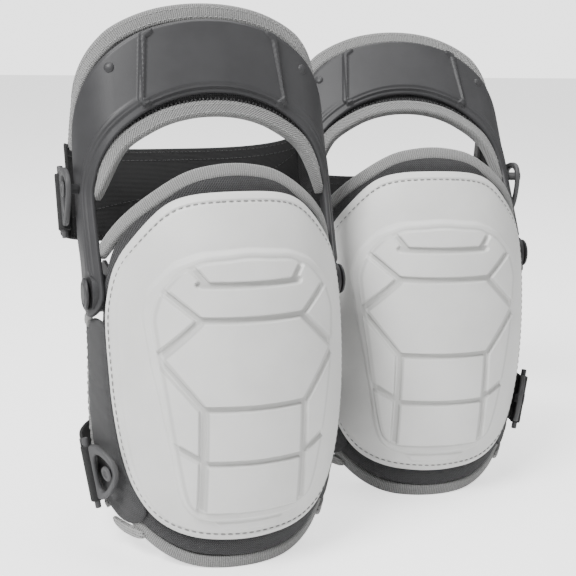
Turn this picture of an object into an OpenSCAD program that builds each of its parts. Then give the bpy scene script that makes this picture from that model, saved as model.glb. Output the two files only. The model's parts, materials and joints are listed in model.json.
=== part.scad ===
// Pair of hinged gel knee pads. Each pad is a capped knee shell with a thigh cuff
// that turns on two rivets. Front is -Y, up is +Z. The left pad is the fixed one.

/* [Pad] */
// Outer radius of the cap's horizontal section
cap_r = 86; // [84:1:88]
// Height of the widest, foremost level of the pad
widest_z = 100; // [95:1:105]
// Radius of the pad's front profile above that level
upper_r = 288; // [270:1:310]
// Radius of the pad's front profile below that level
lower_r = 400; // [380:5:430]
// Thickness of the rubber cap
cap_t = 5; // [4:0.5:5]
// Height of the raised plateau on the cap
plateau_h = 2.5; // [1.5:0.5:3]
// Height of the tiles on the plateau
tile_h = 1.3; // [0.8:0.1:2]
// Thickness of the woven cover
cover_t = 2.8; // [2:0.2:3]
// Thickness of the foam behind the cover
foam_t = 14; // [12:1:15]
// Thickness of the gel cushion
gel_t = 7; // [5:1:8]
// Thickness of the lining against the knee
lining_t = 2; // [1.5:0.5:2.5]
// Thickness of the side wings
wing_t = 3.5; // [2.5:0.5:3.5]

/* [Hinge] */
// Height of the hinge axis
pivot_z = 170; // [168:1:172]
// Radius of the rivet shank
rivet_r = 3; // [2.5:0.1:3.5]
// Radius of the rivet's round head
rivet_head_r = 10.3; // [9:0.1:11]
// Radial clearance of the cuff on the rivet
rivet_gap = 0.05; // [0.03:0.01:0.1]

/* [Cuff] */
// Half width of the cuff
cuff_w = 87; // [86:0.5:88]
// Radius of the cuff's front
cuff_front_r = 170; // [160:1:180]
// Radius of the cuff's corners
cuff_corner_r = 38; // [37:0.5:39]
// Distance of the cuff's front before the hinge axis
cuff_front_y = 38; // [37:0.5:39]
// Wall of the moulded cuff
cuff_t = 3.5; // [3:0.5:4]
// Thickness of the padded liner
liner_t = 5; // [4:0.5:5]
// Lean of the left cuff at rest, in degrees
left_lean = 20; // [15:1:40]
// Lean of the right cuff at rest, in degrees
right_lean = 37; // [15:1:40]

/* [Straps] */
// Width of the elastic straps
strap_w = 38; // [30:1:40]
// Thickness of the elastic straps
strap_t = 2.2; // [1.8:0.1:2.4]
// Radius of the bar that a strap turns round
bar_r = 2; // [1.8:0.1:2.2]
// Thickness of the ring clips
clip_t = 3.4; // [3:0.1:3.6]

/* [Pair] */
// Distance of the right pad to the right of the left one
pair_x = 176.5; // [175.5:0.5:210]
// Distance of the right pad behind the left one
pair_y = 62; // [55:1:70]
// Turn of the right pad against the left one, in degrees
pair_turn = 10; // [0:1:12]

/* [Hidden] */
$fn = 96;

// Colours
cap_white = [0.85, 0.85, 0.83];
weave_grey = [0.26, 0.26, 0.27];
tape_grey = [0.58, 0.58, 0.57];
moulded_grey = [0.36, 0.36, 0.37];
strap_black = [0.07, 0.07, 0.07];
gel_blue = [0.55, 0.65, 0.72];

// Middle of the pair's box, so that the origin is under its centre
centre_x = 93.4;
centre_y = 55.1;

// Radii of the layers, from the outside in
section_y = 3;
cover_r = cap_r - cap_t;
foam_r = cover_r - cover_t;
gel_r = foam_r - gel_t;
lining_r = foam_r - foam_t;
skin_r = lining_r - lining_t;
plateau_r = cap_r + plateau_h;
tile_r = plateau_r + tile_h;
wing_r = cover_r + wing_t;
sweep_y = section_y - cap_r + upper_r;
wing_tape_t = 0.6;
cap_back_y = -16.2;

// Hinge stack along X, from the pad outwards
recess_x = 71.5;
plate_t = 2;
washer_t = 0.6;
boss_x = recess_x + plate_t + washer_t;
boss_r = 12;
arm_end_x = 86.4;
rivet_head_t = 2.6;

// Ring clips, their posts, and the small rivets of the liner
clip_reach = 19;
clip_up = 66;
clip_turn = 66.5;
clip_tilt = 9;
clip_lean = 5.7;
clip_plane_r = 87.9;
clip_bar_l = 44;
bar_slot_y = 14.3;
button_y = -3.5;
button_z = 4;
button_r = 5.0;
post_r = 3.2;
head_t = 1.4;
head_over = 1.8;
button_foot = 3.6;
eye_r = 4.3;
eye_gap = 0.05;
thigh_clip_x = 93.6;
thigh_post_y = 0;
thigh_post_z = 68;
liner_rivet_x = 65;
liner_rivet_z = 140;
liner_rivet_r = 1.5;

// A half outline completed by its mirror image
function both_sides(half) = concat(half, [
    for (i = [len(half) - 1 : -1 : 0])
        if (half[i][0] > 0) [-half[i][0], half[i][1]]
]);

// An outline whose corners are replaced by short curves that start at distance d
function unit(v) = v / norm(v);
function softened(p, d, n = 4) = [
    for (i = [0 : len(p) - 1])
        let (a = p[(i + len(p) - 1) % len(p)], b = p[(i + 1) % len(p)], c = p[i])
        let (s = c + unit(a - c) * min(d, norm(a - c) / 2.05))
        let (e = c + unit(b - c) * min(d, norm(b - c) / 2.05))
        for (k = [0 : n])
            let (t = k / n)
            (1 - t) * (1 - t) * s + 2 * t * (1 - t) * c + t * t * e
];

// Half outlines seen from the front, as [x, z]
cap_half = [[0, 240], [28, 238.5], [45, 232.5], [60, 217], [75, 195.5], [80, 168], [80.5, 146], [79, 105],
            [75, 74], [68.5, 51], [56.5, 33], [37, 24.5], [0, 22.5]];
plateau_half = [[0, 206], [28, 203.5], [43, 197], [56, 182], [60, 168], [57, 140], [50, 100.5], [46.5, 82],
                [43.5, 62], [40, 50], [35, 43], [26, 40.7], [0, 41]];
tile_half = [[0, 202.5], [27, 200], [41, 193.5], [52, 180], [56, 167.5], [53.5, 140], [48, 100.5], [44.6, 81],
             [41.4, 63], [38, 51], [32, 46.8], [27, 46], [0, 46]];
cover_half = [[0, 250], [24, 247.5], [36, 241], [50, 230.5], [60, 220], [68, 209], [76, 196], [90, 160],
              [90, 100], [80, 60], [66, 30], [50, 19], [35, 11.5], [0, 8.5]];
body_half = [[0, 246], [24, 243.5], [36, 237], [50, 226.5], [60, 216], [67, 205], [74, 192], [82, 160],
             [82, 100], [72, 60], [60, 30], [54, 16], [54, 0], [0, 0]];
tape_half = [[0, 256.5], [24, 254], [36, 247.5], [50, 237], [60, 226.5], [68, 215.5], [74, 207]];
foot_half = [[66, 30], [58, 17], [48, 9], [34, 2], [24, 0], [0, 0]];

// Side outlines behind the cap, as [y, z]
recess_side = [[-19, 151], [70, 151], [70, 290], [-70, 290], [-36, 235], [-19, 196]];
wing_side = [[-45, 140], [-30, 148], [30, 148], [27, 120], [16, 90], [7, 60], [-3, 33], [-20, 23],
             [-50, 23], [-60, 60]];
wing_tape_side = [[27, 147], [31.5, 147], [28.5, 119], [17.5, 89], [9, 60], [-1, 32], [-4.5, 35], [4, 61],
                  [12.5, 91], [23.5, 121]];
tab_side = [[-44, 13], [-14, 13], [-11, 22], [-44, 22]];

// Side outline of the cuff's moulding, as [y, z] from the hinge axis with the cuff upright
cuff_side = [[-38.5, 169.5], [-36.8, 168], [-33.7, 164], [-30, 159], [-25.3, 152], [-19, 145], [-12, 137],
             [1.6, 116], [8, 100], [10.5, 60], [14.5, 22], [14.7, 3], [13.5, -6.5], [8, -12.8], [0, -15],
             [-8, -12.8], [-12.6, -8], [-14, 0], [-12.5, 30], [-12, 68], [-14.5, 83], [-19.5, 96],
             [-25.6, 104], [-31.9, 112.5], [-35.7, 117.8], [-38.5, 120.5]];
liner_side = [[-36, 174], [-31, 168], [-26, 162], [-19, 155], [-8, 145], [10, 128], [26, 117], [38, 105],
              [42, 88], [40, 68], [30, 60], [-9, 60], [-10, 76], [-15, 91], [-20, 98.5], [-26, 107],
              [-33, 114], [-36, 116]];

// The arch under the cuff's raised panel, seen from the front
relief_arch = concat(
    [for (a = [-45 : 5.625 : 45]) [84 * sin(a), 41 + 84.5 * cos(a)]],
    [[70, 190], [-70, 190]]);

// Points of the cuff's U-shaped plan, moved inwards by off, with straight sides back to y_end
cuff_corner_x = cuff_w - cuff_corner_r;
cuff_front_c = cuff_front_r - cuff_front_y;
cuff_corner_c = cuff_front_c - sqrt(pow(cuff_front_r - cuff_corner_r, 2) - pow(cuff_corner_x, 2));
cuff_join = asin(cuff_corner_x / (cuff_front_r - cuff_corner_r));
function cuff_half(off, y_end) = concat(
    [for (k = [0 : 6])
        let (a = cuff_join * k / 6)
        [(cuff_front_r - off) * sin(a), cuff_front_c - (cuff_front_r - off) * cos(a)]],
    [for (k = [1 : 10])
        let (a = cuff_join + (90 - cuff_join) * k / 10)
        [cuff_corner_x + (cuff_corner_r - off) * sin(a), cuff_corner_c - (cuff_corner_r - off) * cos(a)]],
    [[cuff_w - off, y_end]]);

// Reach of the calf strap round the back, at angle a from the front. It is smaller on the
// inner side, where the strap's tail lies inside the wing

// Gaps where the thigh straps lap, and where the calf straps cross
strap_gap = 0.4;
lap_gap = 1.8;
calf_outer_r = 88.6;
calf_inner_drop = 13.7;
calf_dip = 18;
function bump(a, a0, span) = pow(sin(max(0, min(180, (a - a0) * 180 / span))), 2);
function slope(a, a0, a1) = let (t = max(0, min(1, (a - a0) / (a1 - a0)))) t * t * (3 - 2 * t);
function calf_reach(a) = calf_outer_r - calf_dip * bump(a, 100, 160) - calf_inner_drop * slope(a, 190, 265);

// Reach of the thigh strap: half its width on each side, and its depth
thigh_inner_w = 87.1;
thigh_loop_d = 56;
// Height of the wide back band above the middle of the thigh strap
band_up = 48;
function thigh_point(a, off) = let (w = cos(a) > 0 ? thigh_inner_w : thigh_clip_x) [
    sign(cos(a)) * (w + off) * pow(abs(cos(a)), 0.62),
    (thigh_loop_d + off) * pow(abs(sin(a)), 0.75)
];

module left_place() translate([-centre_x, -centre_y, 0]) children();
module right_place()
    translate([pair_x - centre_x, pair_y - centre_y, 0])
        rotate([0, 0, -pair_turn])
            mirror([1, 0, 0]) children();
module cuff_place(lean)
    translate([0, 0, pivot_z])
        rotate([-lean, 0, 0]) children();

// The outer side is -X; both_x repeats a piece on the two sides
module both_x() {
    children();
    mirror([1, 0, 0]) children();
}

// A curved layer of the pad between two radii, below and above the widest level
module lower_layer(r_out, r_in)
    translate([0, section_y, widest_z])
        rotate_extrude()
            intersection() {
                difference() {
                    translate([r_out - lower_r, 0]) circle(r = lower_r, $fn = 360);
                    translate([r_in - lower_r, 0]) circle(r = lower_r, $fn = 360);
                }
                translate([20, -widest_z - 5]) square([100, widest_z + 5]);
            }

module upper_layer(r_out, r_in)
    translate([0, sweep_y, widest_z])
        rotate([90, 0, -90])
            rotate_extrude(angle = 36, $fn = 360)
                intersection() {
                    translate([upper_r - cap_r, 0])
                        difference() {
                            circle(r = r_out);
                            circle(r = r_in);
                        }
                    translate([upper_r - cap_r - 40, -110]) square([160, 220]);
                }

module layer(r_out, r_in) {
    lower_layer(r_out, r_in);
    upper_layer(r_out, r_in);
}

// A front outline as a block from y0 back to y1, and a side outline as a block from x0 to x1
module front_block(y0, y1, points)
    translate([0, y1, 0])
        rotate([90, 0, 0])
            linear_extrude(height = y1 - y0) polygon(points);
module side_block(x0, x1, points)
    translate([x0, 0, 0])
        rotate([90, 0, 90])
            linear_extrude(height = x1 - x0) polygon(points);

// The room beside the knee in which the cuff's arms turn
module hinge_recess() both_x() side_block(recess_x, 120, recess_side);

module bar_x(x0, x1, r) translate([x0, 0, 0]) rotate([0, 90, 0]) cylinder(r = r, h = x1 - x0);

// Groove lines of the cap: a strip of given width between two points
groove_w = 4;
module strip(a, b, w = groove_w)
    translate([a[0], a[1]])
        rotate([0, 0, atan2(b[1] - a[1], b[0] - a[0])])
            translate([-w / 2, -w / 2]) square([norm(b - a) + w, w]);
module groove_lines() {
    strip([-26, 188], [26, 188]);
    strip([-27, 168], [27, 168]);
    strip([-29, 115], [29, 115]);
    strip([-29, 79.5], [29, 79.5]);
    for (s = [-1, 1]) {
        strip([s * 23, 188], [s * 34, 199]);
        strip([s * 31, 167.5], [s * 54, 187]);
        strip([s * 31, 167.5], [s * 56, 144]);
        strip([s * 31, 114], [s * 56, 144]);
        strip([s * 31, 114], [s * 31, 44]);
        strip([s * 33, 81], [s * 50, 93]);
    }
}

module cap_shell() color(cap_white) {
    intersection() {
        layer(cap_r, cover_r);
        front_block(-100, cap_back_y, softened(both_sides(cap_half), 5));
    }
    intersection() {
        layer(plateau_r, cap_r - 1);
        front_block(-100, -20, softened(both_sides(plateau_half), 5));
    }
    difference() {
        intersection() {
            layer(tile_r, cap_r);
            front_block(-100, -20, softened(both_sides(tile_half), 5));
        }
        translate([0, -20, 0])
            rotate([90, 0, 0])
                linear_extrude(height = 80)
                    groove_lines();
    }
}

module pad_cover() color(weave_grey)
    difference() {
        intersection() {
            layer(cover_r, foam_r);
            front_block(-100, 3, softened(both_sides(cover_half), 5));
        }
        hinge_recess();
    }

module gel_insert() color(gel_blue)
    intersection() {
        layer(foam_r, gel_r);
        front_block(-100, 0, softened([[-44, 68], [44, 68], [50, 180], [-50, 180]], 24));
    }

module foam_core() color(weave_grey)
    difference() {
        intersection() {
            layer(foam_r, lining_r);
            front_block(-100, 3, softened(both_sides(body_half), 3));
        }
        hinge_recess();
        intersection() {
            layer(foam_r + 1, gel_r);
            front_block(-100, 0, softened([[-44, 68], [44, 68], [50, 180], [-50, 180]], 24));
        }
        translate([0, 0, pivot_z]) both_x() bar_x(recess_x - 5, recess_x + 5, 9);
    }

module inner_lining() color(weave_grey)
    intersection() {
        layer(lining_r, skin_r);
        front_block(-100, 10, softened(both_sides(body_half), 3));
    }

module top_binding() color(tape_grey)
    difference() {
        intersection() {
            layer(cover_r + 1, foam_r - 2);
            front_block(-100, 3, both_sides(concat(tape_half, [[60, 150]])));
        }
        front_block(-101, 4, softened(both_sides(cover_half), 5));
        hinge_recess();
    }

module bottom_binding() color(tape_grey)
    difference() {
        intersection() {
            layer(cover_r, foam_r);
            front_block(-100, -20, both_sides(concat([[66, 60]], foot_half)));
        }
        front_block(-101, 4, softened(both_sides(cover_half), 5));
    }

module wing(side)
    intersection() {
        layer(wing_r, cover_r);
        side_block(side < 0 ? -100 : 30, side < 0 ? -30 : 100, softened(wing_side, 5));
    }

module outer_wing() color(weave_grey)
    difference() {
        wing(-1);
        cap_clearance();
    }

module inner_wing() color(weave_grey)
    difference() {
        wing(1);
        cap_clearance();
    }

// The room of the cap with its edge, kept clear by the wings
module cap_clearance()
    front_block(-100, 8, [for (p = softened(both_sides(cap_half), 5)) [p[0] * 1.01, p[1]]]);

module wing_binding() color(tape_grey)
    intersection() {
        layer(wing_r + wing_tape_t, wing_r);
        both_x() side_block(40, 100, wing_tape_side);
    }

module wing_tabs() color(tape_grey)
    difference() {
        intersection() {
            layer(wing_r, cover_r);
            both_x() side_block(30, 100, tab_side);
        }
        cap_clearance();
    }

module hinge_plate()
    difference() {
        side_block(recess_x, recess_x + plate_t, softened(
            [[-13, -14], [-8, 16], [14, 20], [22, 4], [16, -17], [0, -18]], 6));
        bar_x(recess_x - 1, recess_x + plate_t + 1, rivet_r);
    }
module hinge_plates() color(moulded_grey)
    translate([0, 0, pivot_z]) both_x() hinge_plate();

module hinge_rivet() {
    bar_x(recess_x - 2, arm_end_x + 0.1, rivet_r);
    bar_x(recess_x - 4, recess_x, 8);
    difference() {
        bar_x(arm_end_x + 0.05, arm_end_x + rivet_head_t, rivet_head_r);
        translate([arm_end_x + rivet_head_t, 0, 0])
            rotate([0, 90, 0])
                rotate_extrude() translate([rivet_head_r - 2.2, 0]) circle(r = 0.7);
    }
}
module hinge_rivets() color(moulded_grey)
    translate([0, 0, pivot_z]) both_x() hinge_rivet();

module hinge_washers() color(strap_black)
    translate([0, 0, pivot_z])
        both_x()
            difference() {
                bar_x(recess_x + plate_t, boss_x - 0.05, 9);
                bar_x(recess_x, boss_x + 1, rivet_r);
            }

// The calf strap's own plane: +X points out of the pad's outer side, +Y to the back.
// The strap leans with the outer wing, and its tail leans the other way, with the inner wing
module calf_frame(lean = clip_lean)
    translate([0, section_y, clip_up])
        rotate([0, 0, 270 - clip_turn])
            rotate([clip_tilt, lean, 0]) mirror([0, 1, 0]) children();

// A ring clip in the YZ plane: bar at +Y, apex at -Y, opened round the button
clip_outer = [[-23, 8], [21, 28], [21, -28]];
module ring_clip() {
    difference() {
        side_block(-clip_t / 2, clip_t / 2, softened(clip_outer, 7));
        side_block(-clip_t, clip_t, softened([[-14.5, 6.5], [13, 19.5], [13, -18.5]], 5));
        side_block(-clip_t, clip_t, [[bar_slot_y, clip_bar_l / 2], [30, clip_bar_l / 2],
                                     [30, -clip_bar_l / 2], [bar_slot_y, -clip_bar_l / 2]]);
    }
    translate([0, clip_reach, -clip_bar_l / 2 - 1]) cylinder(r = bar_r, h = clip_bar_l + 2);
}

// A round post with a wider flat head at its top
module round_post(x_foot, x_top) {
    bar_x(x_foot, x_top - head_t, post_r);
    bar_x(x_top - head_t - 0.1, x_top, button_r);
}

module calf_button() color(moulded_grey)
    calf_frame()
        translate([0, button_y, button_z])
            round_post(clip_plane_r - button_foot, clip_plane_r + clip_t / 2 + head_over);

module calf_clip() color(moulded_grey)
    calf_frame()
        translate([clip_plane_r, 0, 0]) ring_clip();

// Eye of a strap round a clip's bar, with a short leg that goes back from it
module strap_eye(leg)
    difference() {
        union() {
            translate([0, 0, -strap_w / 2]) cylinder(r = eye_r, h = strap_w);
            translate([-strap_t / 2, eye_r - 1, -strap_w / 2]) cube([strap_t, leg, strap_w]);
        }
        translate([0, 0, -strap_w]) cylinder(r = bar_r + eye_gap, h = 2 * strap_w);
    }

function calf_point(a, off) = (calf_reach(a) + off) * [cos(a - clip_turn), sin(a - clip_turn)];
function calf_band(a0, a1, off) = concat(
    [for (a = [a0 : 5 : a1]) calf_point(a, off + strap_t / 2)],
    [for (a = [a1 : -5 : a0]) calf_point(a, off - strap_t / 2)]);

module calf_strap() color(strap_black)
    calf_frame() {
        translate([clip_plane_r, clip_reach, 0]) strap_eye(6);
        difference() {
            translate([0, 0, -strap_w / 2]) linear_extrude(height = strap_w) polygon(calf_band(81, 171, 0));
            translate([clip_plane_r, clip_reach, -strap_w]) cylinder(r = eye_r - 0.5, h = 2 * strap_w);
        }
    }

module calf_strap_tail() color(strap_black)
    calf_frame(-clip_lean)
        translate([0, 0, -strap_w / 2])
            linear_extrude(height = strap_w) polygon(calf_band(160, 265, strap_t + lap_gap));

module u_ring(off_out, off_in, y_end, z0, z1)
    translate([0, 0, z0])
        linear_extrude(height = z1 - z0)
            difference() {
                polygon(both_sides(cuff_half(off_out, y_end)));
                polygon(both_sides(cuff_half(off_in, y_end + 1)));
            }

// Raised panel on the cuff's front
module cuff_relief()
    intersection() {
        u_ring(-1.6, 1, 10, 100, 180);
        front_block(-60, 0, softened([[-45, 122], [45, 122], [42, 158], [0, 163], [-42, 158]], 3));
        front_block(-60, 0, relief_arch);
    }
module cuff_shell(lean) color(moulded_grey)
    cuff_place(lean)
        difference() {
            union() {
                intersection() {
                    u_ring(0, cuff_t, 20, -20, 172);
                    side_block(-100, 100, cuff_side);
                }
                cuff_relief();
                both_x() bar_x(boss_x, cuff_w - 6, boss_r);
                both_x() bar_x(cuff_w - 7, arm_end_x, boss_r);
            }
            both_x() bar_x(60, 100, rivet_r + rivet_gap);
            both_x() side_block(60, boss_x, [[-20, -20], [20, -20], [20, 22], [-20, 22]]);
            both_x() side_block(arm_end_x, 100, [[-20, -20], [20, -20], [20, 22], [-20, 22]]);
            both_x() liner_rivet_bore();
            translate([0, thigh_post_y, thigh_post_z]) bar_x(-100, -60, post_r);
        }

// Bore of the small rivets that hold the liner
module liner_rivet_bore()
    translate([liner_rivet_x, 0, liner_rivet_z]) rotate([90, 0, 0]) cylinder(r = liner_rivet_r, h = 60);

module liner_rivets(lean) color(moulded_grey)
    cuff_place(lean)
        both_x()
            translate([liner_rivet_x, -20, liner_rivet_z]) {
                rotate([90, 0, 0]) cylinder(r = liner_rivet_r, h = 6);
                translate([0, -5.2, 0]) rotate([90, 0, 24]) cylinder(r = 3.4, h = 2);
            }

module cuff_liner(lean) color(weave_grey)
    cuff_place(lean)
        difference() {
            intersection() {
                u_ring(cuff_t, cuff_t + liner_t, 60, 50, 176);
                side_block(-100, 100, softened(liner_side, 3));
            }
            both_x() liner_rivet_bore();
        }

module cuff_top_binding(lean) color(tape_grey)
    cuff_place(lean)
        intersection() {
            u_ring(cuff_t - 1.2, cuff_t + liner_t + 1.2, 20, 100, 185);
            side_block(-100, 100, [[-42, 179.5], [-36.3, 179.5], [-31, 173.4], [-26, 167.6], [-19, 160.6],
                                   [-8, 150.6], [8, 135.4], [8, 129.8], [-8, 145.1], [-19, 155.1],
                                   [-26, 162.1], [-31, 168.1], [-36.3, 174.1], [-42, 174.1]]);
        }

module cuff_arch_binding(lean) color(tape_grey)
    cuff_place(lean)
        intersection() {
            u_ring(cuff_t, cuff_t + liner_t + 1.2, 20, 40, 125);
            side_block(-100, 100, [[-42, 115.8], [-35.9, 115.8], [-32.9, 113.6], [-26, 106.6], [-20.1, 98.2],
                                   [-15.1, 90.8], [-10.1, 75.8], [-9.1, 60], [-12.2, 60], [-12.5, 69],
                                   [-17, 83], [-22, 90], [-28, 96.5], [-33, 101.5], [-36, 105], [-42, 105]]);
        }

module cuff_post(lean) color(moulded_grey)
    cuff_place(lean)
        translate([0, thigh_post_y, thigh_post_z])
            mirror([1, 0, 0]) round_post(cuff_w - cuff_t, thigh_clip_x + clip_t / 2 + head_over);

module thigh_frame(lean)
    cuff_place(lean)
        translate([0, thigh_post_y - button_y, thigh_post_z - button_z]) children();

module thigh_clip(lean) color(moulded_grey)
    thigh_frame(lean)
        translate([-thigh_clip_x, 0, 0]) mirror([1, 0, 0]) ring_clip();

function thigh_band(a0, a1, off) = concat(
    [for (a = [a0 : 5 : a1]) thigh_point(a, off + strap_t / 2)],
    [for (a = [a1 : -5 : a0]) thigh_point(a, off - strap_t / 2)]);

module thigh_strap(lean) color(strap_black)
    thigh_frame(lean) {
        translate([-thigh_clip_x, clip_reach, 0]) strap_eye(6);
        difference() {
            translate([0, clip_reach + 3, -strap_w / 2])
                linear_extrude(height = strap_w) polygon(thigh_band(75, 180, 0));
            translate([-thigh_clip_x, clip_reach, -strap_w]) cylinder(r = eye_r - 0.5, h = 2 * strap_w);
        }
    }

module thigh_strap_tail(lean) color(strap_black)
    thigh_frame(lean)
        translate([0, clip_reach + 3, -strap_w / 2])
            linear_extrude(height = strap_w / 2 + band_up)
                polygon(thigh_band(15, 150, -strap_t - strap_gap));

left_place() cap_shell();  // left_cap_shell
left_place() pad_cover();  // left_pad_cover
left_place() gel_insert();  // left_gel_insert
left_place() foam_core();  // left_foam_core
left_place() inner_lining();  // left_inner_lining
left_place() top_binding();  // left_top_binding
left_place() bottom_binding();  // left_bottom_binding
left_place() outer_wing();  // left_outer_wing
left_place() inner_wing();  // left_inner_wing
left_place() wing_binding();  // left_wing_binding
left_place() wing_tabs();  // left_wing_tabs
left_place() hinge_plates();  // left_hinge_plates
left_place() hinge_rivets();  // left_hinge_rivets
left_place() hinge_washers();  // left_hinge_washers
left_place() calf_button();  // left_calf_button
left_place() calf_strap();  // left_calf_strap
left_place() calf_strap_tail();  // left_calf_strap_tail
left_place() calf_clip();  // left_calf_clip
left_place() cuff_shell(left_lean);  // left_cuff_shell
left_place() cuff_liner(left_lean);  // left_cuff_liner
left_place() cuff_top_binding(left_lean);  // left_cuff_top_binding
left_place() cuff_arch_binding(left_lean);  // left_cuff_arch_binding
left_place() liner_rivets(left_lean);  // left_liner_rivets
left_place() cuff_post(left_lean);  // left_cuff_post
left_place() thigh_strap(left_lean);  // left_thigh_strap
left_place() thigh_strap_tail(left_lean);  // left_thigh_strap_tail
left_place() thigh_clip(left_lean);  // left_thigh_clip
right_place() cap_shell();  // right_cap_shell
right_place() pad_cover();  // right_pad_cover
right_place() gel_insert();  // right_gel_insert
right_place() foam_core();  // right_foam_core
right_place() inner_lining();  // right_inner_lining
right_place() top_binding();  // right_top_binding
right_place() bottom_binding();  // right_bottom_binding
right_place() outer_wing();  // right_outer_wing
right_place() inner_wing();  // right_inner_wing
right_place() wing_binding();  // right_wing_binding
right_place() wing_tabs();  // right_wing_tabs
right_place() hinge_plates();  // right_hinge_plates
right_place() hinge_rivets();  // right_hinge_rivets
right_place() hinge_washers();  // right_hinge_washers
right_place() calf_button();  // right_calf_button
right_place() calf_strap();  // right_calf_strap
right_place() calf_strap_tail();  // right_calf_strap_tail
right_place() calf_clip();  // right_calf_clip
right_place() cuff_shell(right_lean);  // right_cuff_shell
right_place() cuff_liner(right_lean);  // right_cuff_liner
right_place() cuff_top_binding(right_lean);  // right_cuff_top_binding
right_place() cuff_arch_binding(right_lean);  // right_cuff_arch_binding
right_place() liner_rivets(right_lean);  // right_liner_rivets
right_place() cuff_post(right_lean);  // right_cuff_post
right_place() thigh_strap(right_lean);  // right_thigh_strap
right_place() thigh_strap_tail(right_lean);  // right_thigh_strap_tail
right_place() thigh_clip(right_lean);  // right_thigh_clip
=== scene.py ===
"""The looks of a pair of hinged gel knee pads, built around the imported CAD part."""

import json
import math

import bmesh
import bpy
import numpy as np
from mathutils import Matrix, Vector


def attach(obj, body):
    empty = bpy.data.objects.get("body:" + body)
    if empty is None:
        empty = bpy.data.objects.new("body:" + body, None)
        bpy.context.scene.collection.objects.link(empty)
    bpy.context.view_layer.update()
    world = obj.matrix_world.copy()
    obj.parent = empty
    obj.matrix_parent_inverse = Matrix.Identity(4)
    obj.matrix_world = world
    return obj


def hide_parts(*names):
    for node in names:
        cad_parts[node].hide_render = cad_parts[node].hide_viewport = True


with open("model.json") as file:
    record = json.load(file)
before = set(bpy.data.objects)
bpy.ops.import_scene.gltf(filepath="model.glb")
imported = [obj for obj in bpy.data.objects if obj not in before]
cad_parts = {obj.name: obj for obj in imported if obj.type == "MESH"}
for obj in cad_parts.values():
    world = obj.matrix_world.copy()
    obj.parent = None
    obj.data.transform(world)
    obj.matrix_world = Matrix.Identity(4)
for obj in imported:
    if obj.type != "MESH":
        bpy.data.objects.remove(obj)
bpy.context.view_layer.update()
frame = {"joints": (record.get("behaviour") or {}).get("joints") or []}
MM = 0.001

# ---------------------------------------------------------------- the frame's places
JOINTS = {joint["name"]: joint for joint in frame["joints"]}
SIDES = ("left", "right")
MIRRORED = {"left": False, "right": True}


def pad_matrix(side):
    """Pad coordinates, in millimetres with the outer side at -X, to the row frame."""
    hinge = JOINTS[side + "_cuff_hinge"]
    along = -Vector(hinge["axis"])
    turn = math.atan2(along.y, along.x)
    spot = Matrix.Translation((hinge["pos_m"][0], hinge["pos_m"][1], 0))
    flip = Matrix.Diagonal((-1 if MIRRORED[side] else 1, 1, 1, 1))
    return spot @ Matrix.Rotation(turn, 4, "Z") @ flip @ Matrix.Scale(MM, 4)


def cuff_matrix(side):
    """Upright cuff coordinates, from the hinge axis, to the row frame."""
    hinge = JOINTS[side + "_cuff_hinge"]
    lean = math.radians(hinge["range_deg"][0])
    up = Matrix.Translation((0, 0, hinge["pos_m"][2] / MM))
    return pad_matrix(side) @ up @ Matrix.Rotation(lean, 4, "X")


PAD = {side: pad_matrix(side) for side in SIDES}
CUFF = {side: cuff_matrix(side) for side in SIDES}
PIVOT_Z = JOINTS["left_cuff_hinge"]["pos_m"][2] / MM

# ---------------------------------------------------------------- driving dimensions, in mm
CAP_R = 86.0
UPPER_R = 288.0
LOWER_R = 400.0
WIDEST_Z = 100.0
SECTION_Y = 3.0
SWEEP_Y = SECTION_Y - CAP_R + UPPER_R
CAP_T = 5.0
COVER_R = CAP_R - CAP_T
FOAM_R = COVER_R - 2.8
SKIN_R = FOAM_R - 16.0
WING_R = COVER_R + 3.5
SKIN_GAP = 0.15
CAP_BACK_Y = -16.2
PLATEAU_H = 3.0
TILE_H = 2.4

CUFF_FRONT_R = 170.0
CUFF_CORNER_R = 38.0
CUFF_CORNER_X = 49.0
CUFF_FRONT_C = 132.0
CUFF_CORNER_Y = 9.4
CUFF_T = 3.5
LINER_T = 5.0
CUFF_JOIN = math.asin(CUFF_CORNER_X / (CUFF_FRONT_R - CUFF_CORNER_R))
FRONT_ARC = CUFF_FRONT_R * CUFF_JOIN
CORNER_ARC = CUFF_CORNER_R * (math.pi / 2 - CUFF_JOIN)

# Outlines seen from the front, as [x, z], right half from the top down
CAP_HALF = [[0, 240], [28, 238.5], [45, 232.5], [60, 217], [74.5, 195.5], [80, 168], [80.5, 146], [79, 105],
            [75, 74], [68.5, 51], [56.5, 33], [37, 24.5], [0, 22.5]]
PLATEAU_HALF = [[0, 206], [28, 203.5], [43, 197], [56, 182], [60, 168], [57, 140], [50, 100.5], [46.5, 82],
                [43.5, 62], [40, 50], [35, 43], [26, 40.7], [0, 41]]
TILE_HALF = [[0, 202.5], [27, 200], [41, 193.5], [52, 180], [56, 167.5], [53.5, 140], [48, 100.5], [44.6, 81],
             [41.4, 63], [38, 51], [32, 46.8], [27, 46], [0, 46]]
COVER_HALF = [[0, 250], [24, 247.5], [36, 241], [50, 230.5], [60, 220], [68, 209], [74, 196], [78, 172],
              [79.5, 140], [79.8, 100], [76, 60], [66, 30], [50, 19], [35, 11.5], [0, 8.5]]
BODY_HALF = [[0, 246], [24, 243.5], [36, 237], [50, 226.5], [60, 216], [66, 203], [70.5, 188], [70.5, 152],
             [76.5, 146], [77, 100], [72, 60], [60, 30], [54, 16], [54, 0], [0, 0]]


def both_sides(half):
    """The whole closed outline of a right half."""
    left = [[-x, z] for x, z in reversed(half) if x > 0]
    return np.array(half + left, float)


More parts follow.
